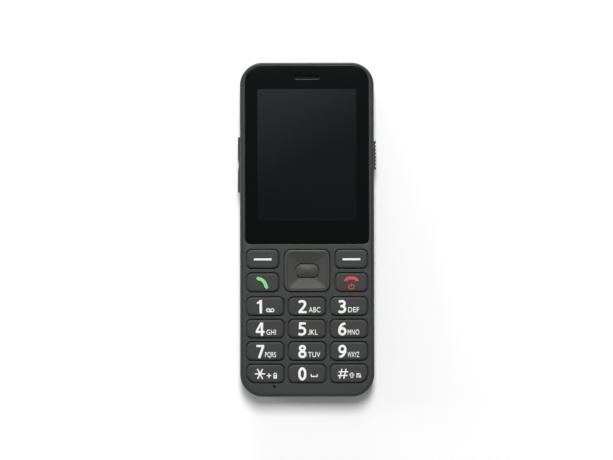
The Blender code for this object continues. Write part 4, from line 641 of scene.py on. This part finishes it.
def printed(name, strokes, place, height):
    """Flat strokes of ink on a flat top. A stroke with a third item that is true is closed."""
    line = bpy.data.curves.new(name, "CURVE")
    line.dimensions, line.bevel_depth, line.bevel_resolution, line.resolution_u = "3D", 0.5 * MM, 3, 10
    line.use_fill_caps = True
    for points, width, *closed in strokes:
        run = line.splines.new("BEZIER")
        run.use_cyclic_u = bool(closed)
        run.bezier_points.add(len(points) - 1)
        for point, (x, y) in zip(run.bezier_points, points):
            point.co, point.radius = (x * MM, y * MM, 0), width
            kind = "AUTO" if len(points) > 2 else "VECTOR"
            point.handle_left_type = point.handle_right_type = kind
    mark = bpy.data.objects.new(name, line)
    bpy.context.scene.collection.objects.link(mark)
    alone(mark)
    bpy.ops.object.convert(target="MESH")
    mark = bpy.context.object
    mark.location, mark.scale = Vector((*place, height)) * MM, (1, 1, INK_FLAT)
    bpy.ops.object.transform_apply()
    return mark


def lettered(name, words, left, right, base, height):
    """A word between two ends on a base line, with its capitals at the legends' letter height."""
    bpy.ops.object.select_all(action="DESELECT")
    bpy.ops.object.text_add()
    mark = bpy.context.object
    mark.name, mark.data.body, mark.data.extrude, mark.data.offset = name, words, 0.006, 0.007
    mark.data.space_character = 1.08
    bpy.ops.object.convert(target="MESH")
    mark = bpy.context.object
    xs = [v.co.x for v in mark.data.vertices]
    wide = (right - left) * MM / (max(xs) - min(xs))
    tall = LETTER_HEIGHT * MM / CAP_HEIGHT
    mark.location = Vector((left * MM - min(xs) * wide, base * MM, height * MM))
    mark.scale = (wide, tall, tall)
    bpy.ops.object.transform_apply()
    return mark


def ink(name, dark, light):
    """A printing ink, a little uneven in colour and shine."""
    material, start, place, shader = finish_of(name, specular_ior_level=0.3)
    wear = start.node("TexNoise", {"Vector": place, "Scale": 9000.0, "Detail": 2.0})
    wire(shader, Base_Color=mixed(wear, dark, light), Roughness=0.42 + wear * 0.16)
    return material


legend_white = ink("key_legend", (0.8, 0.8, 0.79), (0.9, 0.9, 0.89))
legend_green = ink("call_legend", (0.18, 0.64, 0.22), (0.22, 0.72, 0.27))
legend_red = ink("end_legend", (0.56, 0.045, 0.038), (0.64, 0.055, 0.046))

INK_HEIGHT = KEY_TOP + 0.004
DIGIT_PLACES = {
    "1": -18.72, "2": -3.32, "3": 11.52, "4": -19.1, "5": -3.4, "6": 11.42,
    "7": -18.94, "8": -3.38, "9": 11.42, "0": -3.4,
}
LETTERS = {
    "2": ("ABC", 0.6, 4.9),
    "3": ("DEF", 15.2, 19.25),
    "4": ("GHI", -15.1, -11.6),
    "5": ("KL", 1.35, 3.9),
    "6": ("MNO", 14.98, 19.3),
    "7": ("PQRS", -15.62, -11.6),
    "8": ("TUV", 0.38, 4.85),
    "9": ("WXYZ", 14.95, 19.3),
}
SYMBOLS = {
    "1": [
        ring_at(-14.48, -1.45, 0.56, 0.56, 0.36),
        ring_at(-12.92, -1.45, 0.56, 0.56, 0.36),
        ([(-14.48, -2.01), (-12.92, -2.01)], 0.36),
    ],
    "5": [([(1.0, -0.36), (1.0, -1.6), (0.8, -2.0), (0.34, -2.1)], 0.3)],
    "0": [
        ([(1.5, -0.25), (1.5, -0.95)], 0.38),
        ([(3.72, -0.25), (3.72, -0.95)], 0.38),
        ([(1.32, -1.08), (3.9, -1.08)], 0.38),
    ],
    "star": [
        ([(-19.4, -0.1), (-15.6, -0.1)], 0.46),
        ([(-18.45, 1.7), (-16.55, -1.95)], 0.46),
        ([(-16.55, 1.7), (-18.45, -1.95)], 0.46),
        ([(-15.05, -0.75), (-13.35, -0.75)], 0.42),
        ([(-14.2, 0.1), (-14.2, -1.6)], 0.42),
        ([(-12.3, -0.72), (-12.3, -1.84)], 0.5),
        ([(-11.5, -0.72), (-11.5, -1.84)], 0.5),
        ([(-12.5, -0.84), (-11.3, -0.84)], 0.4),
        ([(-12.5, -1.7), (-11.3, -1.7)], 0.4),
        ([(-12.38, -0.7), (-12.34, -0.1), (-11.9, 0.16), (-11.46, -0.1), (-11.42, -0.7)], 0.28),
    ],
    "hash": [
        ([(11.98, -1.9), (12.86, 1.75)], 0.46),
        ([(13.52, -1.9), (14.4, 1.75)], 0.46),
        ([(11.6, 0.62), (15.15, 0.62)], 0.46),
        ([(11.35, -0.76), (14.9, -0.76)], 0.46),
        ([(15.62, -0.6), (16.5, 0.32)], 0.3),
        ([(16.5, 0.32), (17.38, -0.6)], 0.3),
        ([(15.65, -0.56), (16.2, -0.56)], 0.28),
        ([(16.8, -0.56), (17.35, -0.56)], 0.28),
        ([(16.15, -0.5), (16.15, -1.52)], 0.28),
        ([(16.85, -0.5), (16.85, -1.52)], 0.28),
        ([(16.0, -1.5), (17.0, -1.5)], 0.28),
        ([(18.35, -1.1), (18.5, -0.3), (19.05, 0.02), (19.6, -0.3), (19.75, -1.1)], 0.26),
        ([(18.1, -1.3), (20.0, -1.3)], 0.28),
        ([(18.85, -0.5), (19.25, -0.5)], 0.26),
        ([(18.25, 0.15), (19.85, -1.62)], 0.2),
    ],
}
for key in NUMBER_KEYS:
    sign = key.split("_")[1]
    x, y = middle_of(key)[:2]
    marks = []
    if sign in DIGITS:
        marks.append(printed("ink", DIGITS[sign], (DIGIT_PLACES[sign], y + DIGIT_BASE), INK_HEIGHT))
    if sign in SYMBOLS:
        marks.append(printed("ink", SYMBOLS[sign], (0, y), INK_HEIGHT))
    if sign in LETTERS:
        word, left, right = LETTERS[sign]
        marks.append(lettered("ink", word, left, right, y + LETTER_BASE, INK_HEIGHT))
    alone(*marks)
    if len(marks) > 1:
        bpy.ops.object.join()
    mark = bpy.context.object
    mark.name = mark.data.name = "print_" + key
    settle(mark, legend_white, key, slot="key_legend")

BAR_SIZE, BAR_DROP, BAR_CORNER = (6.55, 0.74), 0.12, 0.3
for key in ("soft_key_left", "soft_key_right"):
    x, y = middle_of(key)[:2]
    bar = corner_block(
        "print_" + key, (x, y - BAR_DROP), BAR_SIZE, KEY_TOP - 0.01, KEY_TOP + 0.02, BAR_CORNER
    )
    settle(bar, legend_white, key, slot="key_legend")

handset = printed(
    "print_call_key",
    [
        ([(-1.7, 1.3), (-0.75, 1.15), (0.25, 0.45), (0.95, -0.65), (1.3, -1.8)], 1.24),
        ([(-1.35, 1.8), (-2.0, 1.0)], 1.3),
        ([(1.75, -1.35), (0.95, -2.05)], 1.32),
    ],
    middle_of("call_key")[:2],
    INK_HEIGHT,
)
settle(handset, legend_green, "call_key", slot="call_legend")
handset = printed(
    "print_end_key",
    [
        ([(-2.05, 0.95), (-1.3, 1.38), (0, 1.52), (1.3, 1.38), (2.05, 0.95)], 1.14),
        ([(-2.05, 1.05), (-2.1, 0.4)], 1.22),
        ([(2.05, 1.05), (2.1, 0.4)], 1.22),
        (
            [(-0.38, -0.82), (-0.86, -1.12), (-1.02, -1.65), (-0.72, -2.25), (0, -2.52)]
            + [(0.72, -2.25), (1.02, -1.65), (0.86, -1.12), (0.38, -0.82)],
            0.32,
        ),
        ([(0, -0.35), (0, -1.6)], 0.32),
    ],
    middle_of("end_key")[:2],
    INK_HEIGHT,
)
settle(handset, legend_red, "end_key", slot="end_legend")

# ------------------------------------------------------------------ navigation key
# A square ring that tips four ways on a rubber web, dished towards the select key in its middle.
# It stands a little prouder than the keys and has a raised rim with a fine step inside.

nav_plastic = moulded(
    "nav_plastic", (0.049, 0.049, 0.0475), 0.42, grain=0.16, depth=0.008, specular_ior_level=0.17
)
NAV_BOTTOM, NAV_FLANGE_TOP, NAV_TOP = 10.5, 11.0, 13.75
NAV_ROUND, NAV_STEPS = (0.42, 0.35), ((0.34, 0.0), (0.08, -0.26), (0.16, 0.0), (0.1, 0.14))
NAV_FLANGE_CORNER = 5.6
DISH_DEPTH, DISH_BOTTOM = 0.6, 0.35
SELECT_SIZE, SELECT_CORNER, SELECT_GAP = (8.6, 4.9), 2.3, 0.27
nav_place = middle_of("nav_key")[:2]
nav = corner_block(
    "nav_ring",
    nav_place,
    NAV_SIZE,
    NAV_FLANGE_TOP - 0.02,
    NAV_TOP - NAV_ROUND[1],
    NAV_CORNER,
    steps=12,
)
rings(nav, top_face(nav), [*quarter(*NAV_ROUND, 6), *NAV_STEPS])


def drawn_in(piece, face, centre, last, rise, steps, bulge):
    """Draws a face in to a share of its size round a centre, ring by ring, as it rises or sinks."""
    pick(piece, "FACE", face)
    x, y = centre
    shares = [1 - (1 - last) * k / steps for k in range(steps + 1)]
    for wide, narrow in zip(shares, shares[1:]):
        up = rise * (wide**bulge - narrow**bulge) / (1 - last**bulge)
        drawn = narrow / wide
        bpy.ops.mesh.inset(thickness=HAIR * MM, depth=up * MM)
        bpy.ops.transform.resize(value=(drawn, drawn, 1), center_override=(x * MM, y * MM, 0))
    close()


def dish_face(face):
    """The wide face inside the ring's rim."""
    return face.normal.z > 0.99 and face.calc_area() > 100 * MM**2


def select_hole():
    """A cutter for the hole in which the select key stands."""
    size = grown(SELECT_SIZE, SELECT_GAP)
    return corner_block("hole", nav_place, size, 5, 15, SELECT_CORNER + SELECT_GAP, steps=16)


drawn_in(nav, dish_face, nav_place, DISH_BOTTOM, -DISH_DEPTH, 10, 1)
carve(nav, select_hole())
flange = corner_block(
    "flange",
    nav_place,
    grown(NAV_SIZE, FLANGE_OVER),
    NAV_BOTTOM,
    NAV_FLANGE_TOP,
    NAV_FLANGE_CORNER,
    steps=12,
)
carve(flange, select_hole())
alone(nav, flange)
bpy.ops.object.join()
settle(nav, nav_plastic, "nav_key", "nav_key", slot="nav_plastic")

# ------------------------------------------------------------------ select key
# The oval key in the middle of the navigation key, strongly crowned so that a thumb finds it. Its
# stem goes down through the ring to its own dome.

SELECT_BOTTOM, SELECT_TOP, SELECT_CROWN, SELECT_STEM = 11.4, 13.26, 0.29, 1.95
select = corner_block(
    "select_cap", nav_place, SELECT_SIZE, SELECT_BOTTOM, SELECT_TOP, SELECT_CORNER, steps=16
)
rings(select, top_face(select), quarter(0.22, 0.2, 5))
drawn_in(select, top_face(select), nav_place, 0.06, SELECT_CROWN, 12, 2)
rings(select, bottom_face(select), [(1.0, 0.0), (HAIR, SELECT_STEM)])
settle(select, nav_plastic, "select_key", "select_key", slot="nav_plastic")

# ------------------------------------------------------------------ volume rocker
# One long key in the left wall, waisted in the middle, that tips on its centre and presses one of
# two side switches. The same plastic as the case.

SIDE_KEY_OUT = 0.8
WAIST_LINES, WAIST_HALF, WAIST_DEPTH = (-2.4, -0.5, 0.0, 0.5, 2.4), 0.6, 0.32
rocker = block(
    "rocker_cap",
    (-WALL_X - SIDE_KEY_OUT, ROCKER_Y - ROCKER_HALF, SIDE_KEY_Z - SIDE_KEY_HALF),
    (-WALL_X + 1.25, ROCKER_Y + ROCKER_HALF, SIDE_KEY_Z + SIDE_KEY_HALF),
)


def waist_edge(edge):
    """An edge across the outer face near the rocker's middle."""
    return all(
        v.co.x < (-WALL_X - 0.7) * MM and abs(v.co.y - ROCKER_Y * MM) < WAIST_HALF * MM
        for v in edge.verts
    )


split(rocker, "Y", *(ROCKER_Y + step for step in WAIST_LINES))
pick(rocker, "EDGE", waist_edge)
bpy.ops.transform.translate(value=(WAIST_DEPTH * MM, 0, 0))
close()
soften(
    rocker,
    0.24,
    4,
    lambda e: e.calc_face_angle(0) > 1.2 and all(v.co.x < (-WALL_X - 0.3) * MM for v in e.verts),
)
settle(rocker, case_plastic, "volume_rocker", "volume_rocker", slot="case_plastic")

# ------------------------------------------------------------------ torch slider
# A ribbed knob on the right wall that slides forwards to switch the torch on. Its neck goes
# through a slot to a foot inside, which works the slide switch.

slider = block(
    "slider_knob",
    (WALL_X + 0.1, SLIDER_Y - SLIDER_HALF, SIDE_KEY_Z - SIDE_KEY_HALF),
    (WALL_X + SIDE_KEY_OUT, SLIDER_Y + SLIDER_HALF, SIDE_KEY_Z + SIDE_KEY_HALF),
)
soften(slider, 0.28, 4, lambda e: all(v.co.x > (WALL_X + 0.7) * MM for v in e.verts))
RIB_PITCH, RIB_GROOVE, RIB_X = 1.35, 0.46, WALL_X + 0.95
grooves = []
for step in range(-3, 4):
    y = SLIDER_Y + step * RIB_PITCH
    grooves.append(
        rod("groove", RIB_GROOVE, (RIB_X, y, SIDE_KEY_Z - 3), (RIB_X, y, SIDE_KEY_Z + 3), sides=24)
    )
carve(slider, *grooves)
neck = block(
    "neck",
    (WALL_X - 1.5, SLIDER_Y - NECK_HALF_LENGTH, SIDE_KEY_Z - NECK_HALF_HEIGHT),
    (WALL_X + 0.3, SLIDER_Y + NECK_HALF_LENGTH, SIDE_KEY_Z + NECK_HALF_HEIGHT),
)
alone(slider, neck)
bpy.ops.object.join()
settle(slider, case_plastic, "torch_slider", "torch_slider", slot="case_plastic")

# ------------------------------------------------------------------ torch
# A white LED on the board behind a clear acrylic lens in the earpiece end. The lens is pressed
# into its hole and stands almost flush.

LENS_FRONT, LENS_LENGTH = WALL_Y - 0.05, 1.5
lens = rod(
    "torch_window",
    TORCH_RADIUS,
    (TORCH_PLACE[0], LENS_FRONT - LENS_LENGTH, TORCH_PLACE[1]),
    (TORCH_PLACE[0], LENS_FRONT, TORCH_PLACE[1]),
    "Y",
)
soften(lens, 0.25, 4, lambda e: all(v.co.y > (WALL_Y - 0.1) * MM for v in e.verts))
material, start, place, shader = finish_of(
    "torch_acrylic", transmission_weight=1.0, ior=1.49, roughness=0.05
)
rib = place.waves("X", 0.4)
wire(shader, Normal=start.node("Bump", {"Height": rib, "Distance": 0.02 * MM, "Strength": 0.4}))
settle(lens, material, "phone_case", "torch_lens", slot="lens")
material, start, place, shader = finish_of("led_phosphor", specular_ior_level=0.4)
cells = start.node("TexVoronoi", {"Vector": place, "Scale": 9000.0})
wire(shader, Base_Color=mixed(cells, (0.8, 0.62, 0.12), (0.9, 0.78, 0.3)), Roughness=0.4 + cells * 0.2)
dress(material, "torch_led")

# ------------------------------------------------------------------ charging socket
# A nickel-plated steel shell with a plastic tongue, sunk a little into the bottom wall. It sits in
# a notch of the board, so the plug goes in at mid height.

SOCKET_FRONT, SOCKET_BACK = -61.955, -55.555
nickel, start, place, shader = finish_of("nickel_plate", metallic=1.0)
brush = start.node("TexNoise", {"Vector": place, "Scale": 6000.0, "Detail": 2.0})
wire(
    shader,
    Base_Color=mixed(brush, (0.5, 0.49, 0.46), (0.6, 0.59, 0.56)),
    Roughness=0.26 + brush * 0.12,
)
SOCKET_WALL, SOCKET_FLOOR = 0.3, 0.8
length = SOCKET_BACK - SOCKET_FRONT
shell = corner_block(
    "socket_shell", (0, 0), SOCKET_SIZE, 0, length, SOCKET_SIZE[1] / 2 - 0.01, steps=14
)
inner = corner_block(
    "inner",
    (0, 0),
    grown(SOCKET_SIZE, -SOCKET_WALL),
    SOCKET_FLOOR,
    length + 1,
    SOCKET_SIZE[1] / 2 - SOCKET_WALL - 0.01,
    steps=14,
)
carve(shell, inner)
soften(shell, 0.08, 2, sharp_at(length))
lying(shell, (0, SOCKET_BACK, SOCKET_Z))
settle(shell, nickel, "phone_case", "usb_socket", slot="steel")
tongue = block(
    "socket_tongue",
    (-3.3, SOCKET_FRONT + 0.8, SOCKET_Z - 0.35),
    (3.3, SOCKET_BACK - 0.7, SOCKET_Z + 0.35),
)
soften(tongue, 0.12, 2, lambda e: all(v.co.y < (SOCKET_FRONT + 1) * MM for v in e.verts))
socket_plastic = moulded("socket_plastic", (0.02, 0.02, 0.021), 0.4)
settle(tongue, socket_plastic, "phone_case", slot="inner_plastic")

# ------------------------------------------------------------------ display and sealing
# Behind the window: tape, a foam gasket, the glass cell in its steel tray and the polyimide flex
# that folds to the board. None of it shows in use.

material, start, place, shader = finish_of("tape", specular_ior_level=0.3)
fibre = start.node("TexNoise", {"Vector": place, "Scale": 8000.0, "Detail": 3.0})
wire(
    shader,
    Base_Color=mixed(fibre, (0.008, 0.008, 0.009), (0.03, 0.03, 0.032)),
    Roughness=0.35 + fibre * 0.3,
)
dress(material, "window_adhesive")
material, start, place, shader = finish_of("foam", specular_ior_level=0.1)
cells = start.node("TexVoronoi", {"Vector": place, "Scale": 5000.0})
wire(
    shader,
    Base_Color=mixed(cells, (0.012, 0.012, 0.012), (0.035, 0.035, 0.036)),
    Roughness=0.85 + cells * 0.1,
    Normal=start.node("Bump", {"Height": cells, "Distance": 0.05 * MM, "Strength": 0.7}),
)
dress(material, "display_gasket")
material, start, place, shader = finish_of("cell_glass", specular_ior_level=0.5)
stripe = place.waves("X", 0.24)
wire(
    shader,
    Base_Color=mixed(stripe * 0.5 + 0.5, (0.008, 0.009, 0.011), (0.012, 0.013, 0.016)),
    Roughness=0.07 + stripe * 0.01,
)
dress(material, "lcd_glass")


def sheet_metal(name, colour, roughness, stretch):
    """Rolled or plated metal with a grain along one direction."""
    material, start, place, shader = finish_of(name, metallic=1.0)
    rolled = start.node("Mapping", {"Vector": place, "Scale": stretch})
    grain = start.node("TexNoise", {"Vector": rolled, "Scale": 1000.0, "Detail": 3.0})
    wire(
        shader,
        Base_Color=mixed(grain, [c * 0.85 for c in colour], colour),
        Roughness=roughness - 0.06 + grain * 0.12,
        Normal=start.node("Bump", {"Height": grain, "Distance": 0.01 * MM, "Strength": 0.4}),
    )
    return material


tray_steel = sheet_metal("tray_steel", (0.62, 0.61, 0.59), 0.36, (0.4, 6.0, 6.0))
dress(tray_steel, "lcd_tray")
material, start, place, shader = finish_of("polyimide", specular_ior_level=0.5)
trace = place.waves("X", 0.8)
copper = start.maths("GREATER_THAN", trace, 0.1)
wire(
    shader,
    Base_Color=mixed(copper, (0.28, 0.09, 0.015), (0.42, 0.17, 0.035)),
    Roughness=0.34 + trace * 0.04,
)
dress(material, "lcd_flex")

# ------------------------------------------------------------------ keypad rubber and domes
# A silicone sheet with a plunger for each key, the rubber web that carries the navigation key, and
# the polyester film with its pressed metal domes underneath.

silicone = moulded("silicone", (0.03, 0.03, 0.031), 0.68, grain=0.3, depth=0.006, specular_ior_level=0.3)
dress(silicone, "keypad_membrane", "nav_rocker_web", "mic_boot")
material, start, place, shader = finish_of("dome_film", specular_ior_level=0.5)
mist = start.node("TexNoise", {"Vector": place, "Scale": 300.0, "Detail": 3.0})
wire(shader, Base_Color=mixed(mist, (0.5, 0.52, 0.5), (0.62, 0.64, 0.62)), Roughness=0.22 + mist * 0.1)
dress(material, "dome_sheet")

# ------------------------------------------------------------------ circuit board
# Glass-fibre board under green solder mask with fine tracks, a tinned shield over the radio, and
# the parts that it carries. It is clamped between the two halves of the case.

material, start, place, shader = finish_of("solder_mask", specular_ior_level=0.5)
brick = {"Vector": place, "Scale": 900.0, "Mortar Size": 0.06, "Row Height": 0.4}
tracks = start.node("TexBrick", brick, out=1)
speck = start.node("TexNoise", {"Vector": place, "Scale": 2500.0, "Detail": 2.0})
wire(
    shader,
    Base_Color=mixed(tracks, (0.008, 0.075, 0.03), (0.02, 0.16, 0.06)),
    Roughness=0.28 + speck * 0.14,
    Normal=start.node("Bump", {"Height": tracks, "Distance": 0.02 * MM, "Strength": 0.5}),
)
dress(material, "main_pcb")
tinned = sheet_metal("tinned_steel", (0.68, 0.67, 0.64), 0.34, (5.0, 0.5, 5.0))
dress(tinned, "shield_can", "sim_holder", "vibration_motor")
gilt = sheet_metal("gilt_can", (0.1, 0.08, 0.05), 0.5, (3.0, 3.0, 3.0))
dress(gilt, "microphone")
switch_plastic = moulded("switch_plastic", (0.02, 0.02, 0.02), 0.45, grain=0.1, depth=0.004)
dress(switch_plastic, "volume_switch_upper", "volume_switch_lower", "torch_switch", "sos_switch")
dress(switch_plastic, "battery_connector")
material = moulded("speaker_frame", (0.018, 0.018, 0.019), 0.4, grain=0.12, depth=0.006)
dress(material, "loudspeaker", "earpiece_receiver")
material, start, place, shader = finish_of("plated_aerial", specular_ior_level=0.4)
plated = start.maths("GREATER_THAN", place.waves("X", 5.0), 0.2)
wire(
    shader,
    Base_Color=mixed(plated, (0.02, 0.02, 0.02), (0.8, 0.6, 0.3)),
    Metallic=plated,
    Roughness=0.5 - plated * 0.15,
)
dress(material, "antenna")

# ------------------------------------------------------------------ rear chassis and screws
# The inner rear frame with the battery bay, moulded black, and four cross-headed machine screws
# that clamp it to the front housing.

chassis_plastic = moulded("chassis_plastic", (0.022, 0.022, 0.023), 0.52, grain=0.25, depth=0.012)
dress(chassis_plastic, "rear_chassis")
blackened = sheet_metal("blackened_steel", (0.1, 0.1, 0.1), 0.38, (3.0, 3.0, 3.0))
for end in ("top", "bottom"):
    dress(blackened, f"housing_screw_{end}_left", f"housing_screw_{end}_right")

# ------------------------------------------------------------------ battery
# A flat lithium pack in a hard case with a wrap-round foil. It drops into the bay and presses its
# contacts against the connector.

material, start, place, shader = finish_of("battery_foil", specular_ior_level=0.5, metallic=0.15)
crease = start.node("TexNoise", {"Vector": place, "Scale": 120.0, "Detail": 5.0})
wire(
    shader,
    Base_Color=mixed(crease, (0.42, 0.43, 0.44), (0.56, 0.57, 0.58)),
    Roughness=0.36 + crease * 0.14,
    Normal=start.node("Bump", {"Height": crease, "Distance": 0.05 * MM, "Strength": 0.4}),
)
dress(material, "battery")

# ------------------------------------------------------------------ battery cover
# The removable back: a shallow tub that curves up to the parting line, clipped on by six tabs. It
# has slots for the loudspeaker, the hole for the emergency key and a nick to lift it by.

COVER_TOP, BACK_INSET, BACK_RISE, COVER_WALL, COVER_FLOOR = 5.1, 2.4, 3.4, 1.2, 1.1
HOLLOW_INSET, HOLLOW_RISE = 2.0, 2.6
GRILLE_Y, GRILLE_SIZE, GRILLE_STEPS = 35.995, (8.0, 0.9), (-3.0, -1.0, 1.0, 3.0)
SOS_PLACE, SOS_RADIUS, SOS_GAP = (0.0, 49.495), 6.0, 0.3
cover = body_block("back_cover", 0.0, BACK_RISE, COVER_TOP, 20)
rings(cover, bottom_face(cover), quarter(BACK_INSET, BACK_RISE, 12))
hollow = body_block("hollow", COVER_WALL, COVER_FLOOR + HOLLOW_RISE, COVER_TOP + 1, 12)
rings(hollow, bottom_face(hollow), quarter(HOLLOW_INSET, HOLLOW_RISE, 6))
carve(cover, hollow)
split(cover, "X", 0.0)
split(cover, "Y", SOS_PLACE[1], *(GRILLE_Y + step for step in GRILLE_STEPS))
cutters = [
    corner_block("slot", (0, GRILLE_Y + step), GRILLE_SIZE, -1, 3, 0.449, steps=6)
    for step in GRILLE_STEPS
]
cutters.append(rod("hole", SOS_RADIUS + SOS_GAP, (*SOS_PLACE, -1), (*SOS_PLACE, 3), sides=64))
cutters.append(block("nick", (-7.1, -WALL_Y - 1, 4.4), (-4.9, -WALL_Y + 0.6, 6.0)))
carve(cover, *cutters)
soften(cover, 0.2, 3, sharp_at(0.0))
TAB_INNER, TAB_OUTER, TAB_ROOT, TAB_HALF, TAB_RISE = 22.7, 23.5, 24.3, 2.5, 1.5
TAB_PLACES = (-0.62, 0.0, 0.56)  # shares of half the length
tabs = []
for side in (-1, 1):
    for share in TAB_PLACES:
        y = share * WALL_Y
        for reach, top in ((TAB_OUTER, COVER_TOP + TAB_RISE), (TAB_ROOT, COVER_TOP - 0.1)):
            low, high = sorted((side * TAB_INNER, side * reach))
            tab = block("tab", (low, y - TAB_HALF, COVER_TOP - TAB_RISE), (high, y + TAB_HALF, top))
            soften(tab, 0.2, 3, at_level(top))
            tabs.append(tab)
alone(cover, *tabs)
bpy.ops.object.join()
cover_plastic = moulded(
    "cover_plastic", (0.036, 0.037, 0.038), 0.56, grain=0.35, depth=0.03, specular_ior_level=0.25
)
settle(cover, cover_plastic, "battery_cover", "battery_cover", slot="cover_plastic")

# ------------------------------------------------------------------ emergency key
# A round red key sunk a hair under the back, so that it isn't pressed by lying on it. It rides on
# its own switch and passes through the cover with the cover on or off.

SOS_BOTTOM, SOS_TOP, SOS_STEM_INSET = 0.45, 1.3, 4.5
SOS_DISH = ((0.9, 0.0), (0.5, -0.12), (0.8, -0.06), (1.2, -0.03))
sos = rod("sos_cap", SOS_RADIUS, (*SOS_PLACE, SOS_BOTTOM), (*SOS_PLACE, SOS_TOP), sides=96)
rings(sos, bottom_face(sos), [*quarter(0.3, 0.3, 5), *SOS_DISH])
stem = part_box("sos_key")[1].z / MM
rings(sos, top_face(sos), [(SOS_STEM_INSET, 0.0), (HAIR, stem - SOS_TOP)])
sos_plastic = moulded(
    "sos_plastic", (0.42, 0.022, 0.018), 0.42, grain=0.2, depth=0.008, specular_ior_level=0.35
)
settle(sos, sos_plastic, "sos_key", "sos_key", slot="sos_plastic")

# ------------------------------------------------------------------ stage
# A pale floor under the phone and three soft boxes. The long one overhead, on the side of the
# earpiece, throws the soft shadow past the charging end. A weak one lights the left wall, and a low
# one beyond the earpiece draws the light line along that rim.

CAMERA_RAY, GLOSSY_RAY, CLEAR_RAY = 0, 3, 6  # outputs of the Light Path node
FLOOR_COLOUR, FLOOR_GLOW = (0.94, 0.94, 0.94, 1), 0.09

bpy.ops.object.select_all(action="DESELECT")
bpy.ops.mesh.primitive_plane_add(size=6.0, location=(0, 0, -0.0001))
floor = bpy.context.object
floor.name = "floor"
bpy.ops.object.transform_apply()
material = bpy.data.materials.new("floor_paper")
material.use_nodes = True
tree = material.node_tree
shader = tree.nodes["Principled BSDF"]
shader.inputs["Base Color"].default_value = FLOOR_COLOUR
shader.inputs["Roughness"].default_value = 0.9
shader.inputs["Specular IOR Level"].default_value = 0.1
start = Shade(tree)
camera_ray, glossy_ray, clear_ray = (
    start.node("LightPath", out=kind) for kind in (CAMERA_RAY, GLOSSY_RAY, CLEAR_RAY)
)
seen = start.maths("MINIMUM", camera_ray + glossy_ray + clear_ray, 1.0)
glow = start.node("Emission", {"Color": (1, 1, 1, 1), "Strength": seen * FLOOR_GLOW})
both = start.node("AddShader", {0: Shade(tree, shader.outputs[0]), 1: glow})
tree.links.new(both.socket, tree.nodes["Material Output"].inputs["Surface"])
floor.data.materials.append(material)


def soft_box(name, tilt, turn, size, power, distance=2.0):
    """A soft lamp that leans away from straight overhead, and looks at the phone."""
    bpy.ops.object.select_all(action="DESELECT")
    lean, round_ = math.radians(tilt), math.radians(turn)
    back = Vector((math.sin(lean) * math.sin(round_), math.sin(lean) * math.cos(round_), math.cos(lean)))
    bpy.ops.object.light_add(type="AREA", location=back * distance)
    lamp = bpy.context.object
    lamp.name = name
    lamp.data.shape = "RECTANGLE"
    lamp.data.size, lamp.data.size_y = size
    lamp.data.energy = power
    lamp.rotation_euler = back.to_track_quat("Z", "Y").to_euler()


soft_box("soft_box_top", 20.0, 0.0, (0.35, 0.78), 32.0)
soft_box("soft_box_left", 74.0, -80.0, (0.6, 1.0), 10.0)
soft_box("soft_box_back", 86.5, -8.0, (1.4, 0.18), 60.0)

AMBIENT = 0.15
world = bpy.data.worlds.new("studio")
bpy.context.scene.world = world
world.use_nodes = True
start = Shade(world.node_tree)
height = start.node("TexCoord", out=0).part("Z")
horizon = start.node(
    "MapRange", {0: height, 1: 0.3, 2: 0.6, 3: 1.0, 4: 0.0}, interpolation_type="SMOOTHSTEP"
)
camera_ray, glossy_ray, clear_ray = (
    start.node("LightPath", out=kind) for kind in (CAMERA_RAY, GLOSSY_RAY, CLEAR_RAY)
)
seen = start.maths("MINIMUM", camera_ray + clear_ray + glossy_ray * horizon, 1.0)
ground = world.node_tree.nodes["Background"]
ground.inputs["Color"].default_value = (1, 1, 1, 1)
world.node_tree.links.new((AMBIENT + seen * (1 - AMBIENT)).socket, ground.inputs["Strength"])

CAMERA_TILT, CAMERA_TURN, CAMERA_DISTANCE, CAMERA_LENS = 1.5, -0.093, 1.2, 189.8
CAMERA_AIM = (-0.2, -0.23, FACE)
bpy.ops.object.select_all(action="DESELECT")
lean = math.radians(CAMERA_TILT)
target = Vector(CAMERA_AIM) * MM
back = Vector((0.0, -math.sin(lean), math.cos(lean)))
bpy.ops.object.camera_add(location=target + back * CAMERA_DISTANCE)
camera = bpy.context.object
facing = back.to_track_quat("Z", "Y").to_matrix()
camera.rotation_euler = (Matrix.Rotation(math.radians(CAMERA_TURN), 3, back) @ facing).to_euler()
camera.data.lens = CAMERA_LENS
camera.data.sensor_width = 36.0
bpy.context.scene.camera = camera
bpy.context.scene.view_settings.view_transform = "Standard"
